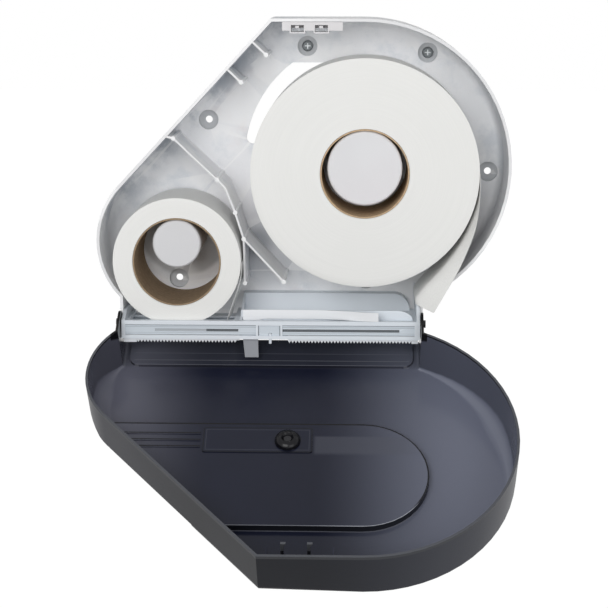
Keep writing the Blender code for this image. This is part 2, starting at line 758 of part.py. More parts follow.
def roll(prefix, x, z, radius, paper_look, core_look, hub):
    """A paper roll on its core. Both turn about the core's own axis."""
    core_radius = CORE_INNER_RADIUS + CORE_WALL
    core_profile = [
        (CORE_INNER_RADIUS, ROLL_BACK),
        (core_radius, ROLL_BACK),
        (core_radius, ROLL_FRONT),
        (CORE_INNER_RADIUS, ROLL_FRONT),
    ]
    inner = core_radius + CLEARANCE
    paper_profile = [
        (inner, ROLL_BACK),
        (radius - ROLL_EDGE, ROLL_BACK),
        (radius, ROLL_BACK + ROLL_EDGE),
        (radius, ROLL_FRONT - ROLL_EDGE),
        (radius - ROLL_EDGE, ROLL_FRONT),
        (inner, ROLL_FRONT),
    ]
    core = turned("core", core_profile, x, z, ROUND_STEPS, closed=True)
    paper = turned("paper", paper_profile, x, z, 2 * ROUND_STEPS, closed=True)
    finish(core, prefix + "_core", core_look, smooth=True, parent=hub)
    finish(paper, prefix + "_paper", paper_look, smooth=True, parent=hub)


def mounting_screw(name, spot, look):
    x, z = spot
    seat = DIMPLE_FLOOR + CLEARANCE
    top = seat + SCREW_HEAD_HEIGHT
    profile = [
        (0, CLEARANCE),
        (SCREW_SHANK_RADIUS, CLEARANCE),
        (SCREW_SHANK_RADIUS, seat),
        (SCREW_HEAD_RADIUS, seat),
        (SCREW_HEAD_RADIUS, seat + SCREW_HEAD_HEIGHT / 2),
        (SCREW_HEAD_RADIUS - SCREW_CHAMFER, top),
        (0, top),
    ]
    screw = turned(name, profile, x, z, HOLE_STEPS)
    half, thin = SCREW_CROSS_LENGTH / 2, SCREW_CROSS_WIDTH / 2
    floor = top - SCREW_CROSS_DEPTH
    across = box("across", x - half, x + half, floor, top + OVERRUN, z - thin, z + thin)
    upright = box("upright", x - thin, x + thin, floor, top + OVERRUN, z - half, z + half)
    cut(screw, across, upright)
    finish(screw, name, look, smooth=True)


def cover_rings(wall, far):
    """Rings from the rim to the front, drawn in by wall, draft and a fillet that is softer on the arcs."""
    bottom = COVER_BOTTOM - (OVERRUN if wall else 0.0)
    softness = outline_softness()
    front = COVER_FRONT - wall
    start = COVER_RIM - (OVERRUN if wall else 0.0)
    rings = [[place(x, start, z) for x, z in casing_outline(wall, bottom)]]
    for k in range(FILLET_STEPS + 1):
        angle = math.pi / 2 * k / FILLET_STEPS
        ring = []
        for i, share in enumerate(softness):
            fillet = SHARP_FILLET + (SOFT_FILLET - SHARP_FILLET) * share
            inset = wall + COVER_DRAFT + fillet * (1 - math.cos(angle))
            out = front - fillet * (1 - math.sin(angle))
            x, z = casing_outline(inset, bottom)[i]
            ring.append(place(x, out, z))
        rings.append(ring)
    if far > front:
        rings.append([point + Vector((0.0, front - far, 0.0)) for point in rings[-1]])
    return rings


def panel_outline(grow):
    """The recessed panel: a round right end and two long sides that run out over the left edge."""
    radius = PANEL_RADIUS + grow
    points = []
    for k in range(PANEL_STEPS + 1):
        angle = -math.pi / 2 + math.pi * k / PANEL_STEPS
        points.append((PANEL_X + radius * math.cos(angle), PANEL_Z + radius * math.sin(angle)))
    left = STUB_X - SMALL_RADIUS - OVERRUN
    return points + [(left, PANEL_Z + radius), (left, PANEL_Z - radius)]


def chin_outline(grow):
    low = COVER_BOTTOM - BASE_DEPTH
    left = CHIN_LEFT + CHIN_MARGIN - grow
    right = CHIN_RIGHT - CHIN_MARGIN + grow
    return rounded_box(left, right, low, CHIN_STEP_Z + grow, CHIN_CORNER + grow)


def stripe_boxes(near, far, grow):
    """The stripes run from the left edge to the name plate's pad."""
    left = STUB_X - SMALL_RADIUS - OVERRUN
    right = PLATE_LEFT - STRIPE_GAP + grow
    half = STRIPE_WIDTH / 2 + grow
    middles = [STRIPE_LOW + k * STRIPE_PITCH for k in range(STRIPE_COUNT)]
    return [box("stripe", left, right, near, far, z - half, z + half) for z in middles]


def cover_body():
    """The shell as an outer solid less a pocket, both with the panel, the chin and the name plate."""
    beyond = COVER_FRONT + OVERRUN
    outer_face = COVER_FRONT - PANEL_SINK
    inner_face = outer_face - COVER_WALL
    outer = loft("cover", cover_rings(0.0, COVER_FRONT))
    cut(outer, prism_out("panel", panel_outline(0.0), outer_face, beyond))
    cut(outer, prism_out("chin", chin_outline(0.0), COVER_FRONT - CHIN_SINK, beyond))
    plate = rounded_box(PLATE_LEFT, PLATE_RIGHT, PLATE_LOW, PLATE_HIGH, PLATE_CORNER)
    cut(outer, prism_out("plate", plate, outer_face - PLATE_SINK, beyond))
    cut(outer, *stripe_boxes(outer_face - STRIPE_SINK, beyond, 0.0))
    pocket = loft("pocket", cover_rings(COVER_WALL, COVER_FRONT - COVER_WALL))
    cut(pocket, prism_out("panel", panel_outline(COVER_WALL), inner_face, beyond))
    cut(pocket, prism_out("chin", chin_outline(COVER_WALL), COVER_FRONT - CHIN_SINK - COVER_WALL, beyond))
    raised = rounded_box(
        PLATE_LEFT - PLATE_SINK,
        PLATE_RIGHT + PLATE_SINK,
        PLATE_LOW - PLATE_SINK,
        PLATE_HIGH + PLATE_SINK,
        PLATE_CORNER + PLATE_SINK,
    )
    cut(pocket, prism_out("plate", raised, inner_face - PLATE_SINK, beyond))
    cut(pocket, *stripe_boxes(inner_face - STRIPE_SINK, beyond, STRIPE_SINK))
    return cut(outer, pocket)


def ear_cutter():
    """Rounds the side walls about the hinge, from the rim to the lower edge."""
    arc = []
    for k in range(EAR_STEPS + 1):
        angle = math.pi + math.pi / 2 * k / EAR_STEPS
        arc.append((HINGE_OUT + EAR_RADIUS * math.cos(angle), HINGE_Z + EAR_RADIUS * math.sin(angle)))
    low = COVER_BOTTOM - OVERRUN
    rim = COVER_RIM - OVERRUN
    outline = [(rim, HINGE_Z)] + arc + [(HINGE_OUT, low), (rim, low)]
    return prism_x("ear", outline, CHIN_LEFT - OVERRUN, CHIN_RIGHT + OVERRUN)


def latch_hook(middle):
    """A hook that drops from the cover's top wall, runs back into the base and ends in a barb."""
    wall = BIG_RADIUS - COVER_WALL / 2
    outline = [
        (HOOK_ROOT_FRONT, wall),
        (HOOK_ROOT_FRONT, HOOK_LOW),
        (HOOK_TIP, HOOK_LOW),
        (HOOK_TIP, HOOK_HIGH),
        (HOOK_ROOT_BACK, HOOK_HIGH),
        (HOOK_ROOT_BACK, wall),
    ]
    hook = prism_x("hook", outline, middle + HOOK_LEFT, middle + HOOK_RIGHT)
    root = middle + HOOK_RIGHT - EMBED
    return join(hook, box("barb", root, middle + BARB_RIGHT, HOOK_TIP, BARB_FRONT, HOOK_LOW, HOOK_HIGH))


def side_rib(x):
    wall = BIG_RADIUS - COVER_WALL / 2
    half = SIDE_RIB_THICKNESS / 2
    near = COVER_RIM + OVERRUN
    return box("side_rib", x - half, x + half, near, near + SIDE_RIB_DEPTH, wall - SIDE_RIB_DROP, wall)


def cover_shell(look, hinge):
    shell = cover_body()
    cut(shell, ear_cutter())
    bore = [(CHIN_LEFT - OVERRUN, PIN_RADIUS + CLEARANCE), (CHIN_RIGHT + OVERRUN, PIN_RADIUS + CLEARANCE)]
    cut(shell, rod_x("bore", HINGE_OUT, HINGE_Z, bore, PIN_STEPS))
    stem = BADGE_STEM_RADIUS + CLEARANCE
    cut(shell, disc("stem_hole", BADGE_X, BADGE_Z, stem, BASE_DEPTH, COVER_FRONT + OVERRUN, HOLE_STEPS))
    join(shell, *(latch_hook(x) for x in CATCH_X))
    join(shell, side_rib(LEFT_SIDE_RIB_X), side_rib(RIGHT_SIDE_RIB_X))
    return finish(shell, "cover_shell", look, parent=hinge)


def badge(badge_look, clip_look, hinge):
    """A blank round badge with a stem through the panel, and the domed clip that holds it inside."""
    seat = COVER_FRONT - PANEL_SINK - PLATE_SINK + CLEARANCE
    inside = COVER_FRONT - PANEL_SINK - PLATE_SINK - COVER_WALL - CLEARANCE
    stem_end = inside - CLIP_HEIGHT + CLIP_PIT_DEPTH
    profile = [
        (0, stem_end),
        (BADGE_STEM_RADIUS, stem_end),
        (BADGE_STEM_RADIUS, seat),
        (BADGE_RADIUS, seat),
        (BADGE_RADIUS, seat + BADGE_THICKNESS / 2),
        (BADGE_RADIUS - BADGE_THICKNESS / 2, seat + BADGE_THICKNESS),
        (0, seat + BADGE_THICKNESS),
    ]
    disc_body = turned("cover_badge", profile, BADGE_X, BADGE_Z, ROUND_STEPS)
    finish(disc_body, "cover_badge", badge_look, smooth=True, parent=hinge)
    bore = BADGE_STEM_RADIUS + CLEARANCE
    top = inside - CLIP_HEIGHT
    dome = [(bore, inside), (CLIP_RADIUS, inside)]
    for k in range(1, FILLET_STEPS + 1):
        angle = math.pi / 2 * k / FILLET_STEPS
        radius = CLIP_PIT_RADIUS + (CLIP_RADIUS - CLIP_PIT_RADIUS) * math.cos(angle)
        dome.append((radius, inside - CLIP_HEIGHT * math.sin(angle)))
    dome.append((bore, top + CLIP_PIT_DEPTH))
    clip = turned("badge_clip", dome, BADGE_X, BADGE_Z, ROUND_STEPS, closed=True)
    finish(clip, "badge_clip", clip_look, smooth=True, parent=hinge)


def hinge_pin(name, plate_x, side, wall_x, look):
    """A pin from inside the tray's end plate to a head outside the cover's side wall."""
    head = wall_x + side * CLEARANCE
    inner = plate_x
    sections = [
        (inner, PIN_RADIUS),
        (head, PIN_RADIUS),
        (head, PIN_HEAD_RADIUS),
        (head + side * PIN_HEAD_LENGTH, PIN_HEAD_RADIUS),
    ]
    finish(rod_x(name, HINGE_OUT, HINGE_Z, sections, PIN_STEPS), name, look, smooth=True)


def tray_ends():
    """Outer faces of the tray's two end plates."""
    gap = BASE_WALL + CLEARANCE
    return CHIN_LEFT + gap, CHIN_RIGHT - gap


def end_plate(outer, inner, top):
    back = INNER_FACE + BASE_FILLET + CLEARANCE
    outline = [
        (back, BAND_BOTTOM),
        (back, top),
        (END_SHOULDER, top),
        (TRAY_FRONT, BAND_TOP),
        (TRAY_FRONT, BAND_BOTTOM),
    ]
    return prism_x("end_plate", outline, outer, inner)


def guide_block(left, right):
    """The hollow ledge along the back wall, with a sloped face and a rounded right end."""

    def ring(inset, out_top, out_low):
        low = FLOOR_TOP - FLOOR_THICKNESS / 2
        top = GUIDE_TOP - inset
        corner = GUIDE_CORNER - inset
        points = [(left + inset, low - inset), (right - inset, low - inset)]
        for k in range(GUIDE_STEPS + 1):
            angle = math.pi / 2 * k / GUIDE_STEPS
            across = corner * (1 - math.cos(angle))
            points.append((right - inset - across, top - corner * (1 - math.sin(angle))))
        points.append((left + inset, top))
        slope = (out_low - out_top) / (GUIDE_TOP - FLOOR_TOP)
        return [place(x, out_top + slope * (GUIDE_TOP - z), z) for x, z in points]

    back = INNER_FACE + CLEARANCE
    block = loft("guide", [ring(0.0, back, back), ring(0.0, GUIDE_TOP_OUT, GUIDE_LOW_OUT)])
    hollow_rings = [
        ring(GUIDE_WALL, back - OVERRUN, back - OVERRUN),
        ring(GUIDE_WALL, GUIDE_TOP_OUT - GUIDE_WALL, GUIDE_LOW_OUT - GUIDE_WALL),
    ]
    return block, loft("guide_hollow", hollow_rings)


def tray_housing(look):
    left, right = tray_ends()
    inner_left, inner_right = left + END_PLATE, right - END_PLATE
    floor_low = FLOOR_TOP - FLOOR_THICKNESS
    band_back = BAND_BACK
    block, hollow = guide_block(PARTITION_X, CHIN_RIGHT - BASE_WALL - BASE_FILLET - CLEARANCE)
    tray = cut(block, hollow)
    band_left, band_right = inner_left - EMBED, inner_right + EMBED
    floor = box("floor", band_left, band_right, FLOOR_BACK, band_back + EMBED, floor_low, FLOOR_TOP)
    band = box("band", band_left, band_right, band_back, TRAY_FRONT, BAND_BOTTOM, BAND_TOP)
    join(tray, floor, band)
    join(tray, end_plate(left, inner_left, END_TOP_LEFT), end_plate(inner_right, right, END_TOP_RIGHT))
    bar_low = BAR_TOP - BAR_THICKNESS
    wedge = [
        (GUIDE_TOP_OUT - GUIDE_WALL, bar_low),
        (GUIDE_TOP_OUT - GUIDE_WALL, GUIDE_TOP),
        (band_back + EMBED, BAND_TOP - EMBED),
        (band_back + EMBED, bar_low),
    ]
    partition_right = PARTITION_X + PARTITION_THICKNESS
    join(tray, prism_x("partition", wedge, PARTITION_X, partition_right))
    join(tray, box("bar", band_left, partition_right - EMBED, BAR_BACK, EXIT_BACK, bar_low, BAR_TOP))
    under = floor_low - OVERRUN / 2
    over = FLOOR_TOP + OVERRUN
    back = FLOOR_BACK - OVERRUN
    left_exit = box("left_exit", LEFT_EXIT_LEFT, LEFT_EXIT_RIGHT, back, band_back, under, over)
    right_exit = box("right_exit", RIGHT_EXIT_LEFT, RIGHT_EXIT_RIGHT, EXIT_BACK, EXIT_FRONT, under, over)
    groove_front = GROOVE_BACK + GROOVE_WIDTH
    groove = box("groove", *GROOVE, GROOVE_BACK, groove_front, FLOOR_TOP - GROOVE_DEPTH, over)
    cut(tray, left_exit, right_exit)
    join(tray, exit_lip())
    cut(tray, groove)
    join(tray, *runners(inner_left - EMBED, inner_right + EMBED))
    beyond = TRAY_FRONT + OVERRUN
    for span in (LEFT_RECESS, MIDDLE_RECESS, RIGHT_RECESS):
        cut(tray, box("recess", *span, TRAY_FRONT - RECESS_DEPTH, beyond, RECESS_LOW, RECESS_TOP))
    slot_floor = TRAY_FRONT - RECESS_DEPTH - SLOT_DEPTH
    for span in (LEFT_SLOT, RIGHT_SLOT):
        cut(tray, box("slot", *span, slot_floor, beyond, SLOT_LOW, SLOT_TOP))
    cut(tray, *cutter_sockets())
    pin_hole = STOP_PIN_RADIUS + CLEARANCE
    hole_top = BAND_BOTTOM + STOP_PIN_RISE + CLEARANCE
    cut(tray, upright_rod("pin_hole", STOP_PIN_X, pin_hole, BAND_BOTTOM - OVERRUN, hole_top))
    bore = [(left - OVERRUN, PIN_RADIUS + CLEARANCE), (right + OVERRUN, PIN_RADIUS + CLEARANCE)]
    cut(tray, rod_x("bore", HINGE_OUT, HINGE_Z, bore, PIN_STEPS))
    return finish(tray, "tray_housing", look)


def exit_lip():
    """An upright lip from the partition to the right, where it comes down in a curve."""
    low = FLOOR_TOP - FLOOR_THICKNESS / 2
    left = PARTITION_X + PARTITION_THICKNESS - EMBED
    outline = [(left, FLOOR_TOP + LIP_HEIGHT)]
    for k in range(LIP_STEPS + 1):
        angle = math.pi / 2 * (1 - k / LIP_STEPS)
        x = LIP_RIGHT - LIP_CORNER * (1 - math.cos(angle))
        outline.append((x, FLOOR_TOP + LIP_HEIGHT * math.sin(angle)))
    outline += [(LIP_RIGHT, low), (left, low)]
    return prism_out("lip", outline, EXIT_FRONT, GROOVE_BACK)


def shutter_level():
    """Top and underside of the shutter's plate."""
    top = BAR_TOP - BAR_THICKNESS - CLEARANCE
    return top, top - SHUTTER_THICKNESS


def runners(left, right):
    """Two ledges under the floor that carry the shutter, the rear one on a wall."""
    top = shutter_level()[1] - CLEARANCE
    low = top - RUNNER_THICKNESS
    front = BAND_BACK - TAB_THICKNESS - 2 * CLEARANCE
    rear = SHUTTER_BACK - CLEARANCE
    floor_low = FLOOR_TOP - FLOOR_THICKNESS
    wall = rear - REAR_RUNNER_WALL
    return (
        box("front_runner", left, right, front - FRONT_RUNNER_WIDTH, front, low, top),
        box("left_wall", left, PARTITION_X + EMBED, wall, rear, low, BAR_TOP - BAR_THICKNESS / 2),
        box("right_wall", PARTITION_X, right, wall, rear, low, floor_low + EMBED),
        box("rear_runner", left, right, rear - EMBED, rear + REAR_RUNNER_LIP, low, top),
    )


def upright_rod(name, x, radius, low, high):
    out = TRAY_FRONT - BAND_THICKNESS / 2
    turns = [math.tau * k / PIN_STEPS for k in range(PIN_STEPS)]
    circle = [(x + radius * math.cos(a), out + radius * math.sin(a)) for a in turns]
    return loft(name, [[place(*spot, z) for spot in circle] for z in (low, high)])


def cutter_sockets():
    near = CUTTER_OUT - CLEARANCE
    far = CUTTER_OUT + CUTTER_THICKNESS + CLEARANCE
    top = BAND_BOTTOM + CUTTER_RISE + CLEARANCE
    low = BAND_BOTTOM - OVERRUN
    return [
        box("socket", a - CLEARANCE, b + CLEARANCE, near, far, low, top)
        for a, b in (LEFT_CUTTER, RIGHT_CUTTER)
    ]


def cutter(name, span, plain_left, look):
    """A strip with a row of teeth along its lower edge and a plain stretch at its outer end."""
    left, right = span
    root = BAND_BOTTOM - CUTTER_LIP
    tip = root - TOOTH_DEPTH
    first = left + (LEFT_CUTTER_END if plain_left else 0.0)
    last = right - (0.0 if plain_left else RIGHT_CUTTER_END)
    count = int((last - first) / TOOTH_PITCH)
    outline = [(right, BAND_BOTTOM + CUTTER_RISE), (left, BAND_BOTTOM + CUTTER_RISE)]
    if plain_left:
        outline += [(left, tip), (first, tip)]
    outline.append((first, root))
    for k in range(count):
        outline.append((first + (k + 0.5) * TOOTH_PITCH, tip))
        outline.append((first + (k + 1) * TOOTH_PITCH, root))
    if not plain_left:
        outline += [(last, root), (last, tip), (right, tip)]
    elif first + count * TOOTH_PITCH < last:
        outline.append((right, root))
    finish(prism_out(name, outline, CUTTER_OUT, CUTTER_OUT + CUTTER_THICKNESS), name, look)


def ramp(value, span):
    way = min(1.0, max(0.0, (value - span[0]) / (span[1] - span[0])))
    return way * way * (3 - 2 * way)


def brake_strip(look):
    """A thin upright strip: its foot stands in the groove, the rest bows towards the front."""
    left, right = STRIP
    middle = GROOVE_BACK + GROOVE_WIDTH / 2
    foot = FLOOR_TOP - GROOVE_DEPTH + CLEARANCE
    high = foot + STRIP_LIFT + STRIP_HEIGHT
    rings = []
    for k in range(STRIP_STEPS + 1):
        share = k / STRIP_STEPS
        x = left + (right - left) * share
        out = middle + STRIP_FORWARD * ramp(share, STRIP_BOW_SHARES)
        low = foot + STRIP_LIFT * ramp(share, STRIP_LIFT_SHARES)
        near, far = out - STRIP_THICKNESS / 2, out + STRIP_THICKNESS / 2
        corners = ((near, low), (far, low), (far, high), (near, high))
        rings.append([place(x, *corner) for corner in corners])
    finish(loft("brake_strip", rings), "brake_strip", look)


def shutter(plate_look, tab_look, slide):
    top, low = shutter_level()
    front = BAND_BACK - CLEARANCE
    tab_back = front - TAB_THICKNESS
    plate = box("shutter_plate", SHUTTER_LEFT, SHUTTER_RIGHT, SHUTTER_BACK, tab_back - CLEARANCE, low, top)
    finish(plate, "shutter_plate", plate_look, parent=slide)
    tab_outline = [
        (TAB_TOP[0], top),
        (TAB_TOP[1], top),
        (TAB_TOP[1], BAND_BOTTOM),
        (TAB_LOW[1], TAB_BOTTOM),
        (TAB_LOW[0], TAB_BOTTOM),
        (TAB_TOP[0], BAND_BOTTOM),
    ]
    finish(prism_out("shutter_tab", tab_outline, tab_back, front), "shutter_tab", tab_look, parent=slide)


def latch_bracket(look):
    """A block under the top wall, with two framed catch windows and a channel for the slider."""
    top = BIG_RADIUS - BASE_WALL - CLEARANCE
    body = box("latch", LATCH_LEFT, LATCH_RIGHT, LATCH_BACK, LATCH_FRONT, LATCH_LOW, top)
    half = CATCH_WIDTH / 2
    for x in CATCH_X:
        frame = box(
            "frame",
            x - half - CATCH_FRAME,
            x + half + CATCH_FRAME,
            LATCH_BACK,
            LATCH_FRONT,
            CATCH_LOW - CATCH_FRAME,
            LATCH_LOW + EMBED,
        )
        join(body, frame)
    for x in CATCH_X:
        back, front = LATCH_BACK - OVERRUN, LATCH_FRONT + OVERRUN
        cut(body, box("catch", x - half, x + half, back, front, CATCH_LOW, CATCH_HIGH))
    channel = box(
        "channel",
        SLIDER_LEFT - SLIDER_GAP,
        SLIDER_RIGHT + SPRING_SPAN + CLEARANCE,
        SLIDER_BACK - SLIDER_GAP,
        SLIDER_FRONT + SLIDER_GAP,
        SLIDER_LOW - SLIDER_GAP,
        SLIDER_HIGH + SLIDER_GAP,
    )
    return finish(cut(body, channel), "latch_bracket", look)


def latch_slider(look, slide):
    """A bar behind the catches. Each of its two lugs holds a hook's barb."""
    bar = box("bar", SLIDER_LEFT, SLIDER_RIGHT, SLIDER_BACK, SLIDER_FRONT, SLIDER_LOW, SLIDER_HIGH)
    for x in CATCH_X:
        arm_left, arm_right = x + LUG_ARM_LEFT, x + LUG_RIGHT
        arm = box("arm", arm_left, arm_right, SLIDER_FRONT - EMBED, LUG_FRONT, SLIDER_LOW, SLIDER_HIGH)
        lug_right, lug_front = arm_right - EMBED / 2, LUG_FRONT - EMBED / 2
        lug = box("lug", x + LUG_LEFT, lug_right, LUG_BACK, lug_front, SLIDER_LOW, SLIDER_HIGH)
        join(bar, arm, lug)
    finish(bar, "latch_slider", look, parent=slide)


def latch_spring(look):
    """The slider's return spring, as a plain tube between the bar's end and the channel's end."""
    out = (SLIDER_BACK + SLIDER_FRONT) / 2
    z = (SLIDER_LOW + SLIDER_HIGH) / 2
    start = SLIDER_RIGHT + CLEARANCE
    end = SLIDER_RIGHT + SPRING_SPAN
    body = rod_x("latch_spring", out, z, [(start, SPRING_RADIUS), (end, SPRING_RADIUS)], PIN_STEPS)
    inner = SPRING_RADIUS - SPRING_WIRE
    bore = rod_x("spring_bore", out, z, [(start - OVERRUN, inner), (end + OVERRUN, inner)], PIN_STEPS)
    finish(cut(body, bore), "latch_spring", look)


def stub_tail(look):
    """Paper from the stub roll's right side down into the left exit, drawn in as it goes down."""
    half = PAPER_THICKNESS / 2
    rings = []
    for x, z, far, near in zip(STUB_TAIL_X, STUB_TAIL_Z, STUB_TAIL_FRONT_OUT, STUB_TAIL_BACK_OUT):
        corners = ((x - half, near), (x + half, near), (x + half, far), (x - half, far))
        rings.append([place(*corner, z) for corner in corners])
    finish(loft("stub_tail", rings), "stub_tail", look)


def jumbo_tail(look):
    """Paper from the large roll's right side, lying over the tray's end with its front corner outside."""
    half = PAPER_THICKNESS / 2
    rings = []
    for out, share in zip(TAIL_OUT, TAIL_FLARE_SHARES):
        path = []
        for k in range(len(TAIL_BACK_X)):
            x = TAIL_BACK_X[k] + (TAIL_FRONT_X[k] - TAIL_BACK_X[k]) * share
            z = TAIL_BACK_Z[k] + (TAIL_FRONT_Z[k] - TAIL_BACK_Z[k]) * share
            path.append(Vector((x, z)))
        sides = []
        for k in range(len(path)):
            way = path[min(k + 1, len(path) - 1)] - path[max(k - 1, 0)]
            sides.append(Vector((-way.y, way.x)).normalized() * half)
        outer = [place(p.x + s.x, out, p.y + s.y) for p, s in zip(path, sides)]
        inner = [place(p.x - s.x, out, p.y - s.y) for p, s in zip(path, sides)]
        rings.append(outer + inner[::-1])
    finish(loft("jumbo_tail", rings), "jumbo_tail", look)


def looks():
    return {
        "grey": material("base_grey", (0.62, 0.65, 0.69), 0.45),
        "hub": material("hub_grey", (0.70, 0.71, 0.73), 0.5),
        "white": material("tray_white", (0.80, 0.84, 0.88), 0.4),
        "cutter": material("cutter_white", (0.72, 0.75, 0.78), 0.35),
        "strip": material("strip_white", (0.86, 0.88, 0.90), 0.4),
        "smoke": material("smoke", (0.035, 0.037, 0.045), 0.12, transmission=0.1),
        "clip": material("clip_black", (0.02, 0.02, 0.024), 0.1),
        "badge": material("badge_grey", (0.12, 0.12, 0.13), 0.3),
        "tab": material("tab_grey", (0.33, 0.34, 0.37), 0.45),
        "screw": material("screw_steel", (0.12, 0.14, 0.17), 0.35, metallic=0.9),
        "pin": material("pin_black", (0.03, 0.03, 0.035), 0.3),
        "steel": material("spring_steel", (0.5, 0.5, 0.52), 0.3, metallic=1.0),
        "paper": material("paper_white", (0.82, 0.82, 0.80), 0.95),
        "kraft": material("core_kraft", (0.33, 0.22, 0.12), 0.9),
    }


def main():
    clear_scene()
    look = looks()
    base_shell(look["grey"])
    spindle("jumbo_spindle", 0.0, 0.0, BIG_HUB_RADIUS, look["hub"])
    spindle("stub_spindle", STUB_X, STUB_Z, SMALL_HUB_RADIUS, look["hub"])
    mounting_screw("mounting_screw_left", TOP_LEFT_SCREW, look["screw"])
    mounting_screw("mounting_screw_right", TOP_RIGHT_SCREW, look["screw"])
    tray_housing(look["white"])
    cutter("cutter_left", LEFT_CUTTER, True, look["cutter"])
    cutter("cutter_right", RIGHT_CUTTER, False, look["cutter"])
    brake_strip(look["strip"])
    stop_pin = upright_rod("pin", STOP_PIN_X, STOP_PIN_RADIUS, STOP_PIN_LOW, BAND_BOTTOM + STOP_PIN_RISE)
    finish(stop_pin, "shutter_stop_pin", look["white"], smooth=True)
    left, right = tray_ends()
    hinge_pin("hinge_pin_left", left + END_PLATE, -1, CHIN_LEFT, look["pin"])
    hinge_pin("hinge_pin_right", right - END_PLATE, 1, CHIN_RIGHT, look["pin"])
    latch_bracket(look["white"])
    latch_spring(look["steel"])
    stub_tail(look["paper"])
    jumbo_tail(look["paper"])

    hinge = pivot("cover_pivot", 0.0, HINGE_OUT, HINGE_Z, turn=OPEN_ANGLE)
    cover_shell(look["smoke"], hinge)
    badge(look["badge"], look["clip"], hinge)
    shutter_rest = pivot("shutter_slide", 0.0, SHUTTER_BACK, FLOOR_TOP)
    shutter(look["white"], look["tab"], shutter_rest)
    latch_rest = pivot("latch_slide", 0.0, SLIDER_BACK, SLIDER_LOW)
    latch_slider(look["white"], latch_rest)
    big_hub = pivot("jumbo_roll_axis", 0.0, ROLL_BACK, BIG_ROLL_Z)
    roll("jumbo", 0.0, BIG_ROLL_Z, BIG_ROLL_RADIUS, look["paper"], look["kraft"], big_hub)
    stub_hub = pivot("stub_roll_axis", STUB_X, ROLL_BACK, STUB_ROLL_Z)
    roll("stub", STUB_X, STUB_ROLL_Z, STUB_ROLL_RADIUS, look["paper"], look["kraft"], stub_hub)


main()
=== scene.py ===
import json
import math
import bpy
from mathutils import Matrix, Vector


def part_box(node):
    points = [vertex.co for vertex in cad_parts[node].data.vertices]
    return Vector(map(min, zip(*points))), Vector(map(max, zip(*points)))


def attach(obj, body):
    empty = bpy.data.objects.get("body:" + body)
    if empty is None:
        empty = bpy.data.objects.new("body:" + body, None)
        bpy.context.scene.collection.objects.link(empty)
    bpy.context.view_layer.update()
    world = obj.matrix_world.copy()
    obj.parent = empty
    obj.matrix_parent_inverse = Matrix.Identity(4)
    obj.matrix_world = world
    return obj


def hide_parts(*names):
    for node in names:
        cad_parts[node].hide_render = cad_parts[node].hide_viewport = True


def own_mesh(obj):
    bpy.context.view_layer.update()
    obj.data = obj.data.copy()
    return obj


bl_info = {
    "name": "Twin Roll Dispenser Dressing",
    "version": (1, 0, 0),
    "blender": (4, 5, 0),
    "location": "View3D > Sidebar > Dispenser",
    "description": "Dresses the packed twin-roll dispenser with finished pieces and materials",
    "category": "Object",
}

import bpy
from bpy.props import FloatProperty, FloatVectorProperty, PointerProperty
from bpy.types import Operator, Panel, PropertyGroup
from mathutils import Vector, noise

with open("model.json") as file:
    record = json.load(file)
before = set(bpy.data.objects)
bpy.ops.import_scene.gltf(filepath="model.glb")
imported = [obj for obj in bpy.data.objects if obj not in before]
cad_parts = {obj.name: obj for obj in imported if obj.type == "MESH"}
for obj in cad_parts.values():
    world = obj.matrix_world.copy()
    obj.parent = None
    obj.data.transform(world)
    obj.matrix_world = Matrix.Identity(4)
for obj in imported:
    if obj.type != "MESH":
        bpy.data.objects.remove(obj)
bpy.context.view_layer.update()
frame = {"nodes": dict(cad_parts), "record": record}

MM = 0.001

# Sockets of the Mix node when it mixes colours, whose names occur more than once
MIX_SHARE, MIX_FIRST, MIX_SECOND, MIX_RESULT = 0, 6, 7, 2


# Shader expressions


class Signal:
    """A shader socket that can be used in plain arithmetic."""

    def __init__(self, graph, socket):
        self.graph = graph
        self.socket = socket

    def __add__(self, other):
        return self.graph.math("ADD", self, other)

    __radd__ = __add__

    def __mul__(self, other):
        return self.graph.math("MULTIPLY", self, other)

    __rmul__ = __mul__

    def __sub__(self, other):
        return self.graph.math("SUBTRACT", self, other)

    def __rsub__(self, other):
        return self.graph.math("SUBTRACT", other, self)

    def __truediv__(self, other):
        return self.graph.math("DIVIDE", self, other)

    def above(self, edge):
        return self.graph.math("GREATER_THAN", self, edge)

    def below(self, edge):
        return 1.0 - self.above(edge)

    def spans(self, low, high):
        """1 between two places given in mm, and 0 outside them."""
        return self.above(low * MM) * self.below(high * MM)

    def smooth(self, none, full):
        """A smooth ramp from 0 at the first value to 1 at the second, which may be the smaller."""
        settings = {"interpolation_type": "SMOOTHSTEP"}
        return self.graph.node("ShaderNodeMapRange", settings, self, none, full, 0.0, 1.0)

    def ramp(self, none, full):
        """A smooth ramp between two places given in mm."""
        return self.smooth(none * MM, full * MM)


